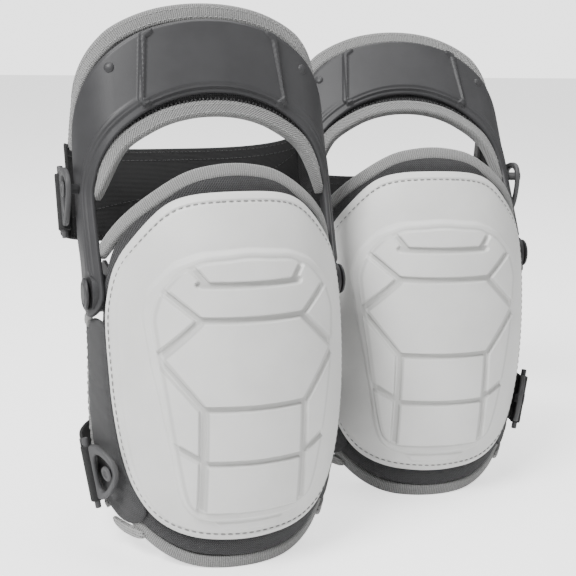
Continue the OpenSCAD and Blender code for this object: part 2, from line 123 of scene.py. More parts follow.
def cut_corners(points, rounds=3, closed=True):
    """The outline with its corners cut again and again into short curves."""
    for _ in range(rounds):
        following = np.roll(points, -1, 0)
        near = 0.75 * points + 0.25 * following
        far = 0.25 * points + 0.75 * following
        cut = np.stack([near, far], 1).reshape(-1, points.shape[1])
        points = cut if closed else np.vstack([points[:1], cut[:-2], points[-1:]])
    return points


def softened(points, reach, steps=6):
    """A closed outline with its corners rounded from a set distance along each edge."""
    points = np.asarray(points, float)
    line = []
    for before, corner, after in zip(np.roll(points, 1, 0), points, np.roll(points, -1, 0)):
        back, on = before - corner, after - corner
        far_back, far_on = np.linalg.norm(back), np.linalg.norm(on)
        start = corner + back / far_back * min(reach, far_back * 0.48)
        end = corner + on / far_on * min(reach, far_on * 0.48)
        for k in range(steps + 1):
            t = k / steps
            line.append((1 - t) ** 2 * start + 2 * t * (1 - t) * corner + t * t * end)
    return np.array(line)


def resampled(points, count, closed=True):
    """The same line with evenly spaced points."""
    line = np.vstack([points, points[:1]]) if closed else points
    run = np.concatenate([[0], np.cumsum(np.linalg.norm(np.diff(line, axis=0), axis=1))])
    stops = np.linspace(0, run[-1], count + 1)[:-1] if closed else np.linspace(0, run[-1], count)
    return np.stack([np.interp(stops, run, line[:, k]) for k in range(line.shape[1])], 1)


def eased(value, low, high):
    """0 below low, 1 above high, with a smooth rise between."""
    t = np.clip((value - low) / (high - low), 0, 1)
    return t * t * (3 - 2 * t)


def inside_distance(points, outline):
    """Distance of each point from a closed outline, positive inside it."""
    best = np.full(len(points), np.inf)
    inside = np.zeros(len(points), bool)
    for start, end in zip(outline, np.roll(outline, -1, 0)):
        step = end - start
        share = np.clip(((points - start) @ step) / max(step @ step, 1e-9), 0, 1)
        best = np.minimum(best, np.linalg.norm(points - start - share[:, None] * step, axis=1))
        if start[1] != end[1]:
            spans = (start[1] > points[:, 1]) != (end[1] > points[:, 1])
            cross = start[0] + (points[:, 1] - start[1]) * step[0] / step[1]
            inside ^= spans & (points[:, 0] < cross)
    return np.where(inside, best, -best)


def line_distance(points, start, end):
    """Distance of each point from a straight line between two points."""
    start, step = np.array(start, float), np.subtract(end, start).astype(float)
    share = np.clip(((points - start) @ step) / (step @ step), 0, 1)
    return np.linalg.norm(points - start - share[:, None] * step, axis=1)


# ---------------------------------------------------------------- the curved surfaces
def waist(r, z):
    """Radius of a layer of nominal radius r at height z, below the widest level."""
    low = np.minimum(z, WIDEST_Z) - WIDEST_Z
    return r - LOWER_R + np.sqrt(LOWER_R ** 2 - low ** 2)


def layer_point(r, a, z):
    """Point of the pad's layer of radius r, at angle a from the front and height z."""
    r, a, z = np.broadcast_arrays(np.asarray(r, float), np.asarray(a, float), np.asarray(z, float))
    low = z < WIDEST_Z
    radial = UPPER_R - CAP_R + r * np.cos(a)
    rise = np.clip((z - WIDEST_Z) / radial, 0, 0.999)
    x = np.where(low, waist(r, z), r) * np.sin(a)
    y = np.where(low, SECTION_Y - waist(r, z) * np.cos(a), SWEEP_Y - radial * np.sqrt(1 - rise ** 2))
    return np.stack([x, y, z], -1)


def layer_normal(r, a, z):
    """Outward direction of the pad's layer, by small steps along it."""
    across = layer_point(r, a + 0.01, z) - layer_point(r, a - 0.01, z)
    up = layer_point(r, a, z + 0.5) - layer_point(r, a, z - 0.5)
    normal = np.cross(across, up)
    return normal / np.linalg.norm(normal, axis=-1, keepdims=True)


def angle_at(x, z, r):
    """Angle from the front at which the layer of radius r has a given x."""
    return np.arcsin(np.clip(x / waist(r, z), -0.999, 0.999))


def cuff_plan(p, off):
    """Plan point and outward direction of the cuff, at run p from its front centre, set in by off."""
    p, off = np.broadcast_arrays(np.asarray(p, float), np.asarray(off, float))
    run, sign = np.abs(p), np.where(p < 0, -1.0, 1.0)
    front, corner = run < FRONT_ARC, run < FRONT_ARC + CORNER_ARC
    turn_front = run / CUFF_FRONT_R
    turn_corner = CUFF_JOIN + (run - FRONT_ARC) / CUFF_CORNER_R
    turn = np.where(front, turn_front, np.where(corner, turn_corner, math.pi / 2))
    x = np.where(front, (CUFF_FRONT_R - off) * np.sin(turn),
                 CUFF_CORNER_X + (CUFF_CORNER_R - off) * np.sin(turn))
    y = np.where(front, CUFF_FRONT_C - (CUFF_FRONT_R - off) * np.cos(turn),
                 CUFF_CORNER_Y - (CUFF_CORNER_R - off) * np.cos(turn))
    y = y + np.maximum(run - FRONT_ARC - CORNER_ARC, 0)
    return sign * x, y, sign * np.sin(turn), -np.cos(turn)


def cuff_point(p, z, off):
    """Point of the upright cuff at run p and height z above the hinge, set in by off."""
    x, y, _, _ = cuff_plan(p, off)
    return np.stack([x, y, np.broadcast_to(z, x.shape)], -1)


# ---------------------------------------------------------------- meshes
class Shape:
    """Points in millimetres, faces, and the cloth coordinates and painted groove shade that the materials
    read; the straps put rib values in the shade slot.
    """

    def __init__(self, points, faces, cloth=None, painted_shade_and_ribs=None):
        self.points = np.asarray(points, float).reshape(-1, 3)
        self.faces = [list(face) for face in faces]
        self.cloth = cloth
        self.painted_shade_and_ribs = painted_shade_and_ribs


def joined(shapes):
    """Several shapes as one."""
    points, faces, cloth, painted_shade_and_ribs, start = [], [], [], [], 0
    for shape in shapes:
        points.append(shape.points)
        faces += [[i + start for i in face] for face in shape.faces]
        count = len(shape.points)
        cloth.append(shape.cloth if shape.cloth is not None else shape.points[:, [0, 2]])
        painted_shade_and_ribs.append(shape.painted_shade_and_ribs if shape.painted_shade_and_ribs is not None else np.zeros(count))
        start += count
    return Shape(np.vstack(points), faces, np.vstack(cloth), np.concatenate(painted_shade_and_ribs))


def grid_faces(rows, columns, wrap_rows=False, wrap_columns=True):
    """Quads of a grid whose points run row by row."""
    faces = []
    for i in range(rows if wrap_rows else rows - 1):
        for j in range(columns if wrap_columns else columns - 1):
            k, m = (i + 1) % rows, (j + 1) % columns
            faces.append([i * columns + j, i * columns + m, k * columns + m, k * columns + j])
    return faces


def outward(mesh):
    """Turns a mesh's faces outwards."""
    work = bmesh.new()
    work.from_mesh(mesh)
    bmesh.ops.remove_doubles(work, verts=work.verts, dist=1e-7)
    bmesh.ops.recalc_face_normals(work, faces=work.faces)
    work.to_mesh(mesh)
    work.free()


def build(name, shape, matrix, material, smooth_angle=None):
    """A Blender object of a shape, placed in the row frame."""
    mesh = bpy.data.meshes.new(name)
    placed = shape.points @ np.array(matrix.to_3x3()).T + np.array(matrix.translation)
    placed[:, 2] = np.maximum(placed[:, 2], 0.0001)
    mesh.from_pydata(placed.tolist(), [], shape.faces)
    cloth = shape.cloth if shape.cloth is not None else shape.points[:, [0, 2]]
    values = np.column_stack([cloth, np.zeros(len(cloth))]).astype(np.float32) * MM
    mesh.attributes.new("cloth", "FLOAT_VECTOR", "POINT").data.foreach_set("vector", values.ravel())
    # The cap's painted groove shade (rib values on the straps) as a point attribute.
    if shape.painted_shade_and_ribs is not None:
        mesh.attributes.new("painted_shade_and_ribs", "FLOAT", "POINT").data.foreach_set("value", shape.painted_shade_and_ribs.astype(np.float32))
    outward(mesh)
    mesh.polygons.foreach_set("use_smooth", [True] * len(mesh.polygons))
    if smooth_angle:
        mesh.set_sharp_from_angle(angle=math.radians(smooth_angle))
    mesh.materials.append(material)
    piece = bpy.data.objects.new(name, mesh)
    bpy.context.scene.collection.objects.link(piece)
    return piece


def unrolled(outline, r_ref):
    """An outline [x, z] of the front view as run round the layer and height."""
    return np.stack([r_ref * angle_at(outline[:, 0], outline[:, 1], r_ref), outline[:, 1]], 1)


def seen(flat, r_ref):
    """Points [run, height] of a layer as [x, z] of the front view."""
    points = layer_point(r_ref, flat[:, 0] / r_ref, flat[:, 1])
    return points[:, [0, 2]]


def inward_normals(flat, centre):
    """Directions that point into a closed outline."""
    tangent = np.roll(flat, -1, 0) - np.roll(flat, 1, 0)
    inward = np.stack([tangent[:, 1], -tangent[:, 0]], 1)
    inward /= np.linalg.norm(inward, axis=1, keepdims=True)
    return inward if np.mean(np.sum(inward * (centre - flat), 1)) > 0 else -inward


def evenly(radius):
    """A panel face of one radius."""
    return lambda spots: np.full(len(spots), radius)


def panel(flat, r_ref, front, back, rim, front_rings, back_rings, centre):
    """A closed curved panel with round edges. front and back give radii at points [run, height]."""
    centre = np.array(centre, float)
    inward = inward_normals(flat, centre)
    insets = rim * np.array([0.03, 0.12, 0.3, 0.6, 1.0])
    middle = (front(flat) + back(flat)) / 2

    def skin(radius, inner):
        stack = [flat + inward * d for d in insets]
        stack += [centre + (stack[-1] - centre) * (1 - k / inner) for k in range(1, inner)]
        stack = np.array(stack + [np.broadcast_to(centre, flat.shape)])
        r = radius(stack.reshape(-1, 2)).reshape(stack.shape[:2])
        for k, d in enumerate(insets):
            r[k] = middle + (r[k] - middle) * math.sqrt(max(0.0, 1 - (1 - d / rim) ** 2))
        return layer_point(r, stack[..., 0] / r_ref, stack[..., 1]), stack

    border = layer_point(middle, flat[:, 0] / r_ref, flat[:, 1])[None]
    ahead, ahead_flat = skin(front, front_rings)
    behind, behind_flat = skin(back, back_rings)
    stack = np.concatenate([behind[::-1], border, ahead])
    cloth = np.concatenate([behind_flat[::-1], flat[None], ahead_flat])
    return Shape(stack.reshape(-1, 3), grid_faces(len(stack), len(flat)), cloth.reshape(-1, 2))


def strip(lower, upper, half_columns, rows, offset, thickness, rim, base=0.0):
    """A closed strip on the cuff's plan between two edges given as stations [p, z] of the right half."""
    def edge(stations):
        fine = resampled_stations(np.array(stations, float), half_columns)
        return np.vstack([fine, (fine * [-1, 1])[::-1][1:]])

    low, high = edge(lower), edge(upper)
    share = np.concatenate([[0.0], np.linspace(0, 1, rows), [1.0]])
    columns = len(low)
    across = low[:, None] + (high - low)[:, None] * share[None, :, None]
    width = np.linalg.norm(high - low, axis=1)[:, None]
    from_low = share[None] * width
    from_edge = np.minimum(from_low, width - from_low)
    roll = np.sqrt(np.clip(1 - (1 - np.clip(from_edge / rim, 0, 1)) ** 2, 0, 1))
    lift = offset(across[..., 0], across[..., 1], from_low, width - from_low)
    half = thickness / 2
    outer = half - (half + lift) * roll
    inner = half + half * roll
    faces_out = cuff_point(across[..., 0], across[..., 1], base + outer)
    faces_in = cuff_point(across[:, ::-1, 0], across[:, ::-1, 1], base + inner[:, ::-1])
    loops = np.concatenate([faces_out, faces_in], 1)
    flat = np.concatenate([across, across[:, ::-1]], 1)
    faces = grid_faces(columns, loops.shape[1])
    ring = loops.shape[1]
    faces.append(list(range(ring))[::-1])
    faces.append([(columns - 1) * ring + j for j in range(ring)])
    return Shape(loops.reshape(-1, 3), faces, flat.reshape(-1, 2))


def resampled_stations(stations, columns):
    """A smooth line through stations, with the same number of points between each two."""
    padded = np.vstack([2 * stations[0] - stations[1], stations, stations[-1] * [-1, 1] + [0, 0]])
    padded[-1] = stations[-2] * [-1, 1]
    steps = columns // (len(stations) - 1)
    line = []
    for i in range(1, len(stations)):
        a, b, c, d = padded[i - 1], padded[i], padded[i + 1], padded[i + 2]
        for k in range(steps):
            t = k / steps
            line.append(0.5 * (2 * b + (c - a) * t + (2 * a - 5 * b + 4 * c - d) * t * t
                               + (3 * b - a - 3 * c + d) * t ** 3))
    return np.array(line + [stations[-1]])


def sweep(path, outs, section, caps=True, closed=False):
    """A section, as [along the width, outwards], swept along a path with given outward directions."""
    path, outs = np.asarray(path, float), np.asarray(outs, float)
    if closed:
        ahead = np.roll(path, -1, 0) - np.roll(path, 1, 0)
    else:
        ahead = np.gradient(path, axis=0)
    ahead /= np.linalg.norm(ahead, axis=1, keepdims=True)
    outs = outs - np.sum(outs * ahead, 1, keepdims=True) * ahead
    outs /= np.linalg.norm(outs, axis=1, keepdims=True)
    side = np.cross(outs, ahead)
    section = np.asarray(section, float)
    points = path[:, None] + side[:, None] * section[None, :, :1] + outs[:, None] * section[None, :, 1:]
    run = np.concatenate([[0], np.cumsum(np.linalg.norm(np.diff(path, axis=0), axis=1))])
    girth = np.concatenate([[0], np.cumsum(np.linalg.norm(np.diff(section, axis=0), axis=1))])
    cloth = np.stack(np.broadcast_arrays(girth[None], run[:, None]), -1)
    count, ring = len(path), len(section)
    faces = grid_faces(count, ring, wrap_rows=closed)
    if caps and not closed:
        faces.append(list(range(ring))[::-1])
        faces.append([(count - 1) * ring + j for j in range(ring)])
    return Shape(points.reshape(-1, 3), faces, cloth.reshape(-1, 2))


def soft_box(width, thickness, round_steps=4, flat_steps=6, radius=None):
    """A rectangle with round corners, as a section for sweep."""
    r = radius if radius is not None else thickness / 2 * 0.98
    w, t = width / 2 - r, thickness / 2 - r
    points = []
    for turn, (cx, cy) in enumerate(((w, t), (-w, t), (-w, -t), (w, -t))):
        for k in range(round_steps + 1):
            a = math.pi / 2 * (turn + k / round_steps)
            points.append((cx + r * math.cos(a), cy + r * math.sin(a)))
        if turn in (0, 2):
            sign = -1 if turn == 0 else 1
            for k in range(1, flat_steps):
                points.append((-sign * w + sign * 2 * w * k / flat_steps, cy + r * (1 if turn == 0 else -1)))
    return points


STITCH_RINGS = ((-0.5, 0.0), (-0.42, 0.62), (-0.2, 1.0), (0.2, 1.0), (0.42, 0.62), (0.5, 0.0))


def stitches(path, outs, pitch, length, radius, slant=0.0):
    """A row of raised thread stitches on a line."""
    path, outs = np.asarray(path, float), np.asarray(outs, float)
    run = np.concatenate([[0], np.cumsum(np.linalg.norm(np.diff(path, axis=0), axis=1))])
    spots = np.arange(pitch / 2, run[-1], pitch)
    shapes, sides = [], 6
    ahead_all = np.gradient(path, axis=0)
    for number, spot in enumerate(spots):
        centre = np.array([np.interp(spot, run, path[:, k]) for k in range(3)])
        ahead = np.array([np.interp(spot, run, ahead_all[:, k]) for k in range(3)])
        out = np.array([np.interp(spot, run, outs[:, k]) for k in range(3)])
        ahead /= np.linalg.norm(ahead)
        out -= ahead * (out @ ahead)
        out /= np.linalg.norm(out)
        side = np.cross(out, ahead)
        if slant:
            tilt = slant if number % 2 == 0 else -slant
            ahead, side = (ahead * math.cos(tilt) + side * math.sin(tilt),
                           side * math.cos(tilt) - ahead * math.sin(tilt))
        rings = []
        for along, wide in STITCH_RINGS:
            for j in range(sides):
                a = 2 * math.pi * j / sides
                rings.append(centre + ahead * along * length
                             + (side * math.cos(a) + out * math.sin(a) * 0.8) * wide * radius)
        shapes.append(Shape(rings, grid_faces(len(STITCH_RINGS), sides)))
    return joined(shapes)


def turned(profile, count=40):
    """A profile of [radius, height] turned round the +X axis."""
    angles = np.arange(count) * 2 * math.pi / count
    profile = np.asarray(profile, float)
    points = np.stack([np.broadcast_to(profile[:, 1:], (len(profile), count)),
                       profile[:, :1] * np.cos(angles), profile[:, :1] * np.sin(angles)], -1)
    return Shape(points.reshape(-1, 3), grid_faces(len(profile), count))


def moved(shape, matrix):
    """A shape after a 4x4 matrix in millimetres."""
    points = shape.points @ np.array(matrix.to_3x3()).T + np.array(matrix.translation)
    return Shape(points, shape.faces, shape.cloth, shape.painted_shade_and_ribs)


def mirrored_x(shape):
    """A shape on the pad's other side."""
    return Shape(shape.points * [-1, 1, 1], shape.faces, shape.cloth, shape.painted_shade_and_ribs)


# ---------------------------------------------------------------- materials
class Nodes:
    """Short ways to wire a material."""

    def __init__(self, name, base, rough, **sockets):
        self.material = bpy.data.materials.new(name)
        self.material.use_nodes = True
        self.tree = self.material.node_tree
        self.shader = self.tree.nodes["Principled BSDF"]
        self.shader.inputs["Base Color"].default_value = (*base, 1)
        self.shader.inputs["Roughness"].default_value = rough
        for socket, value in sockets.items():
            self.shader.inputs[socket.replace("_", " ")].default_value = value

    def node(self, kind, **values):
        made = self.tree.nodes.new(kind)
        for key, value in values.items():
            setattr(made, key, value)
        return made

    def link(self, source, target):
        if isinstance(source, (int, float)):
            target.default_value = source
        elif isinstance(source, tuple):
            target.default_value = source
        else:
            self.tree.links.new(source, target)

    def attribute(self, name, output):
        return self.node("ShaderNodeAttribute", attribute_name=name).outputs[output]

    def cloth(self, scale=(1, 1, 1), turn=0.0):
        """The piece's own cloth coordinates, in metres times scale."""
        mapping = self.node("ShaderNodeMapping")
        self.link(self.attribute("cloth", "Vector"), mapping.inputs["Vector"])
        mapping.inputs["Scale"].default_value = scale
        mapping.inputs["Rotation"].default_value = (0, 0, turn)
        return mapping.outputs["Vector"]

    def place(self):
        return self.node("ShaderNodeTexCoord").outputs["Object"]

    def maths(self, operation, a, b=0.0, clamp=False):
        made = self.node("ShaderNodeMath", operation=operation, use_clamp=clamp)
        self.link(a, made.inputs[0])
        self.link(b, made.inputs[1])
        return made.outputs[0]

    def noise(self, vector, scale, detail=3.0, rough=0.5):
        made = self.node("ShaderNodeTexNoise")
        self.link(vector, made.inputs["Vector"])
        made.inputs["Scale"].default_value = scale
        made.inputs["Detail"].default_value = detail
        made.inputs["Roughness"].default_value = rough
        return made.outputs["Fac"]

    def waves(self, vector, scale, direction="X", distortion=0.0):
        made = self.node("ShaderNodeTexWave", wave_type="BANDS", bands_direction=direction)
        self.link(vector, made.inputs["Vector"])
        made.inputs["Scale"].default_value = scale
        made.inputs["Distortion"].default_value = distortion
        return made.outputs["Fac"]

    def mix(self, share, a, b):
        made = self.node("ShaderNodeMix", data_type="RGBA")
        self.link(share, made.inputs["Factor"])
        self.link(a if not isinstance(a, tuple) else (*a, 1), made.inputs[6])
        self.link(b if not isinstance(b, tuple) else (*b, 1), made.inputs[7])
        return made.outputs[2]

    def between(self, value, low, high):
        made = self.node("ShaderNodeMapRange", interpolation_type="SMOOTHSTEP")
        self.link(value, made.inputs["Value"])
        made.inputs["From Min"].default_value = low
        made.inputs["From Max"].default_value = high
        return made.outputs["Result"]

    def bump(self, height, distance, strength=1.0, under=None):
        made = self.node("ShaderNodeBump")
        made.inputs["Strength"].default_value = strength
        made.inputs["Distance"].default_value = distance
        self.link(height, made.inputs["Height"])
        if under is not None:
            self.link(under, made.inputs["Normal"])
        return made.outputs["Normal"]

    def finish(self, colour=None, rough=None, normal=None):
        if colour is not None:
            self.link(colour, self.shader.inputs["Base Color"])
        if rough is not None:
            self.link(rough, self.shader.inputs["Roughness"])
        if normal is not None:
            self.link(normal, self.shader.inputs["Normal"])
        return self.material


def cap_rubber():
    """Matte off-white rubber with a fine grain, painted shade in its grooves and at the foot of its tiles,
    and scuffed on its tiles.
    """
    m = Nodes("cap_rubber", (0.74, 0.74, 0.725), 0.5)
    grain = m.noise(m.place(), 900, 4, 0.6)
    cloud = m.noise(m.place(), 22, 5, 0.55)
    painted_shade_and_ribs = m.attribute("painted_shade_and_ribs", "Fac")
    tone = m.mix(m.between(cloud, 0.3, 0.7), (0.705, 0.705, 0.69), (0.77, 0.77, 0.755))
    # Painted shade: the grooves and the foot of each tile are darkened towards grey.
    tone = m.mix(m.maths("MULTIPLY", painted_shade_and_ribs, 0.7), tone, (0.46, 0.46, 0.45))
    scuff = m.between(m.noise(m.place(), 130, 6, 0.7), 0.62, 0.78)
    rough = m.maths("ADD", 0.43, m.maths("MULTIPLY", scuff, 0.2))
    tone = m.mix(m.maths("MULTIPLY", scuff, 0.12), tone, (0.6, 0.59, 0.57))
    return m.finish(tone, rough, m.bump(grain, 0.00025, 0.5))


def woven(name, dark, light, threads=1450, twill=True, rough=0.85, sheen=0.25):
    """Coarse woven nylon: crossing threads with a slanted rib over them."""
    m = Nodes(name, light, rough, Sheen_Weight=sheen, Sheen_Roughness=0.5)
    where = m.cloth()
    warp = m.waves(where, threads / 6.2832, "X", 0.4)
    weft = m.waves(where, threads / 6.2832, "Y", 0.4)
    weave = m.maths("MAXIMUM", warp, m.maths("MULTIPLY", weft, 0.9))
    if twill:
        slant = m.waves(m.cloth(turn=math.radians(38)), threads / 5.5, "X", 0.2)
        weave = m.maths("ADD", m.maths("MULTIPLY", weave, 0.45), m.maths("MULTIPLY", slant, 0.55))
    worn = m.noise(where, 260, 4, 0.6)
    share = m.maths("MULTIPLY", weave, m.maths("ADD", 0.6, m.maths("MULTIPLY", worn, 0.8)), True)
    return m.finish(m.mix(share, dark, light), None, m.bump(weave, 0.0006, 0.9))


def binding_tape(name, dark, light, ribs, turn, rough=0.88):
    """Heathered tape: mixed light and dark yarns, ribbed across or on the slant."""
    m = Nodes(name, light, rough, Sheen_Weight=0.3, Sheen_Roughness=0.45)
    where = m.cloth(turn=turn)
    rib = m.waves(where, ribs / 6.2832, "Y", 0.5)
    fleck = m.noise(m.cloth(scale=(3200, 700, 1), turn=turn), 1.0, 2, 0.6)
    yarn = m.noise(m.cloth(scale=(500, 2600, 1)), 1.0, 2, 0.6)
    share = m.maths("ADD", m.maths("MULTIPLY", rib, 0.5), m.maths("MULTIPLY", fleck, 0.62), True)
    share = m.maths("MULTIPLY", share, m.maths("ADD", 0.55, m.maths("MULTIPLY", yarn, 0.85)), True)
    return m.finish(m.mix(share, dark, light), None, m.bump(m.maths("ADD", rib, fleck), 0.0005, 0.8))


def elastic():
    """Black elastic: fine lengthwise ribs crossed by tiny stitches."""
    m = Nodes("black_elastic", (0.012, 0.012, 0.013), 0.8, Sheen_Weight=0.05, Sheen_Roughness=0.5)
    where = m.cloth()
    rib = m.waves(where, 2100 / 6.2832, "X")
    knit = m.waves(where, 3600 / 6.2832, "Y", 0.6)
    height = m.maths("ADD", m.maths("MULTIPLY", rib, 0.6), m.maths("MULTIPLY", knit, 0.4))
    lint = m.between(m.noise(where, 900, 4, 0.7), 0.66, 0.8)
    tone = m.mix(height, (0.006, 0.006, 0.006), (0.022, 0.022, 0.023))
    tone = m.mix(m.maths("MULTIPLY", lint, 0.4), tone, (0.10, 0.10, 0.10))
    return m.finish(tone, None, m.bump(height, 0.0004, 0.8))


def knit(name, dark, light, holes, depth=0.0006):
    """Spacer mesh: rows of small open holes in a knit."""
    m = Nodes(name, light, 0.9, Sheen_Weight=0.25, Sheen_Roughness=0.6)
    cells = m.node("ShaderNodeTexVoronoi", feature="F1")
    m.link(m.cloth(scale=(1.0, 0.75, 1)), cells.inputs["Vector"])
    cells.inputs["Scale"].default_value = holes
    cells.inputs["Randomness"].default_value = 0.25
    wall = m.between(cells.outputs["Distance"], 0.18, 0.42)
    fuzz = m.noise(m.cloth(), 1800, 3, 0.6)
    share = m.maths("MULTIPLY", wall, m.maths("ADD", 0.65, m.maths("MULTIPLY", fuzz, 0.7)), True)
    return m.finish(m.mix(share, dark, light), None, m.bump(wall, depth, 0.8))


def moulded(name, base, rough=0.4, grain=0.35):
    """Satin moulded plastic with a fine texture, faint flow marks and rubbed spots."""
    m = Nodes(name, base, rough, Specular_IOR_Level=0.32)
    fine = m.noise(m.place(), 2600, 3, 0.6)
    flow = m.noise(m.place(), 38, 5, 0.6)
    rub = m.between(m.noise(m.place(), 210, 6, 0.72), 0.6, 0.78)
    lighter = tuple(c * 1.08 for c in base)
    darker = tuple(c * 0.93 for c in base)
    tone = m.mix(m.between(flow, 0.3, 0.7), darker, lighter)
    tone = m.mix(m.maths("MULTIPLY", rub, 0.12), tone, tuple(min(1.0, c * 1.7) for c in base))
    surface = m.maths("ADD", rough, m.maths("MULTIPLY", m.maths("SUBTRACT", flow, 0.5), 0.1))
    return m.finish(tone, surface, m.bump(fine, 0.00012, grain))


def thread(name, base):
    """Twisted sewing thread."""
    m = Nodes(name, base, 0.7, Sheen_Weight=0.3)
    twist = m.waves(m.place(), 420, "DIAGONAL")
    return m.finish(m.mix(twist, tuple(c * 0.6 for c in base), base), None, m.bump(twist, 0.0002, 0.6))


def gel():
    """Soft translucent gel."""
    m = Nodes("soft_gel", (0.5, 0.62, 0.7), 0.25, Subsurface_Weight=0.3)
    swirl = m.noise(m.place(), 60, 4, 0.5)
    return m.finish(m.mix(swirl, (0.42, 0.55, 0.65), (0.6, 0.7, 0.76)), None, m.bump(swirl, 0.0004, 0.4))


def studio_floor():
    """Plain pale floor."""
    m = Nodes("floor_paint", (0.9, 0.9, 0.9), 0.8)
    m.shader.inputs["Emission Color"].default_value = (1, 1, 1, 1)
    rays = m.node("ShaderNodeLightPath").outputs["Is Camera Ray"]
    m.link(m.maths("ADD", m.maths("MULTIPLY", rays, 1.3), 0.2), m.shader.inputs["Emission Strength"])
    speck = m.noise(m.place(), 8, 3, 0.5)
    return m.finish(m.mix(speck, (0.9, 0.9, 0.9), (0.93, 0.93, 0.93)))


CAP = cap_rubber()
COVER = woven("cover_weave", (0.008, 0.008, 0.009), (0.06, 0.06, 0.062), sheen=0.08)
LINING = knit("lining_knit", (0.004, 0.004, 0.004), (0.026, 0.026, 0.027), 420)
CUFF_FABRIC = woven("liner_weave", (0.006, 0.006, 0.007), (0.032, 0.032, 0.033), twill=False, sheen=0.08)
TAPE = binding_tape("heather_tape", (0.07, 0.07, 0.07), (0.40, 0.40, 0.395), 1500, 0.0)
RIBBED = binding_tape("ribbed_tape", (0.07, 0.07, 0.07), (0.40, 0.40, 0.395), 1500, math.radians(45))
MESH = knit("tab_mesh", (0.08, 0.08, 0.08), (0.36, 0.36, 0.355), 620)
ELASTIC = elastic()
MOULDED = moulded("cuff_plastic", (0.047, 0.047, 0.049), 0.46)
PLATE = moulded("plate_plastic", (0.035, 0.035, 0.036), 0.5)
CLIP = moulded("clip_plastic", (0.075, 0.075, 0.077), 0.5)
THREAD_LIGHT = thread("light_thread", (0.42, 0.42, 0.415))
THREAD_GREY = thread("grey_thread", (0.30, 0.30, 0.295))
THREAD_DARK = thread("dark_thread", (0.03, 0.03, 0.031))
GEL = gel()


# ---------------------------------------------------------------- placing
def add(name, shape, side, body, material, replaces=(), cuff=False, sharp=None):
    """One finished piece of one pad."""
    matrix = CUFF[side] if cuff else PAD[side]
    piece = build(side + "_" + name, shape, matrix, material, sharp)
    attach(piece, side + "_" + body)
    if replaces:
        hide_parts(*[side + "_" + node for node in replaces])
    return piece


def swollen(shape, voxel, pressure, limit):
    """A padded solid: remeshed, blown up by cloth simulation, and smoothed."""
    mesh = bpy.data.meshes.new("swelling")
    mesh.from_pydata((shape.points * MM).tolist(), [], shape.faces)
    outward(mesh)
    work = bpy.data.objects.new("swelling", mesh)
    bpy.context.scene.collection.objects.link(work)
    remesh = work.modifiers.new("remesh", "REMESH")
    remesh.mode = "VOXEL"
    remesh.voxel_size = voxel * MM
    baked(work)
    before = vertex_array(work.data)
    cloth = work.modifiers.new("cloth", "CLOTH")
    cloth.settings.quality = 6
    cloth.settings.mass = 0.25
    cloth.settings.tension_stiffness = 25
    cloth.settings.compression_stiffness = 25
    cloth.settings.bending_stiffness = 2.0
    cloth.settings.use_pressure = True
    cloth.settings.uniform_pressure_force = pressure
    cloth.settings.effector_weights.gravity = 0
    cloth.point_cache.frame_start = 1
    cloth.point_cache.frame_end = 20
    scene = bpy.context.scene
    for number in range(1, 21):
        scene.frame_set(number)
    after = vertex_array(evaluated_mesh(work))
    scene.frame_set(1)
    work.modifiers.remove(cloth)
    shift = after - before
    length = np.linalg.norm(shift, axis=1, keepdims=True)
    shift *= np.minimum(1, limit * MM / np.maximum(length, 1e-9))
    work.data.vertices.foreach_set("co", (before + shift).ravel())
    smooth = work.modifiers.new("smooth", "SMOOTH")
    smooth.factor = 0.5
    smooth.iterations = 4
    work.modifiers.new("subdivision", "SUBSURF").levels = 1
    baked(work)
    points = vertex_array(work.data) / MM
    faces = [list(polygon.vertices) for polygon in work.data.polygons]
    bpy.data.objects.remove(work)
    return Shape(points, faces)


def vertex_array(mesh):
    """A mesh's points as an array."""
    points = np.zeros(len(mesh.vertices) * 3)
    mesh.vertices.foreach_get("co", points)
    return points.reshape(-1, 3)


def evaluated_mesh(piece):
    """The mesh that a piece's modifiers give."""
    return piece.evaluated_get(bpy.context.evaluated_depsgraph_get()).to_mesh()


def baked(piece):
    """Applies a piece's modifiers."""
    depsgraph = bpy.context.evaluated_depsgraph_get()
    mesh = bpy.data.meshes.new_from_object(piece.evaluated_get(depsgraph))
    piece.modifiers.clear()
    piece.data = mesh


def with_cloth(shape, centre_y, radius):
    """A shape whose cloth coordinates run round an upright axis."""
    turn = np.arctan2(shape.points[:, 0], centre_y - shape.points[:, 1])
    shape.cloth = np.stack([turn * radius, shape.points[:, 2]], 1)
    return shape


# ---------------------------------------------------------------- the cap
CAP_CENTRE_Z = 130.0
GROOVE_W = 3.9
GROOVES = [((-30, 188), (30, 188)), ((-31, 167.8), (31, 167.8)), ((-31, 114.5), (31, 114.5)),
           ((-31, 79.5), (31, 79.5))]
SIDE_GROOVES = [((26, 188), (36, 201)), ((31, 167.5), (55, 188)), ((31, 167.5), (54.5, 144)),
                ((31, 114), (54.5, 144)), ((31, 114), (31, 42)), ((31, 81), (52, 93.5))]


def cap_outline():
    """The cap's edge, kept in front of the hinge bosses."""
    outline = resampled(softened(both_sides(CAP_HALF), 14), 1080)
    reach = SECTION_Y - CAP_BACK_Y - 9.0 * (1 - eased(outline[:, 1], 132, 150))
    widest = np.sqrt(np.maximum(waist(CAP_R, outline[:, 1]) ** 2 - reach ** 2, 1))
    limit = np.where(outline[:, 1] > WIDEST_Z, cap_width_above(outline[:, 1]), widest)
    outline[:, 0] = np.clip(outline[:, 0], -limit, limit)
    return outline


def cap_width_above(z):
    """Half width of the cap's surface at its back edge, above the widest level."""
    radial = np.sqrt((SWEEP_Y - CAP_BACK_Y) ** 2 + (z - WIDEST_Z) ** 2)
    return np.sqrt(np.maximum(CAP_R ** 2 - (radial - UPPER_R + CAP_R) ** 2, 1))


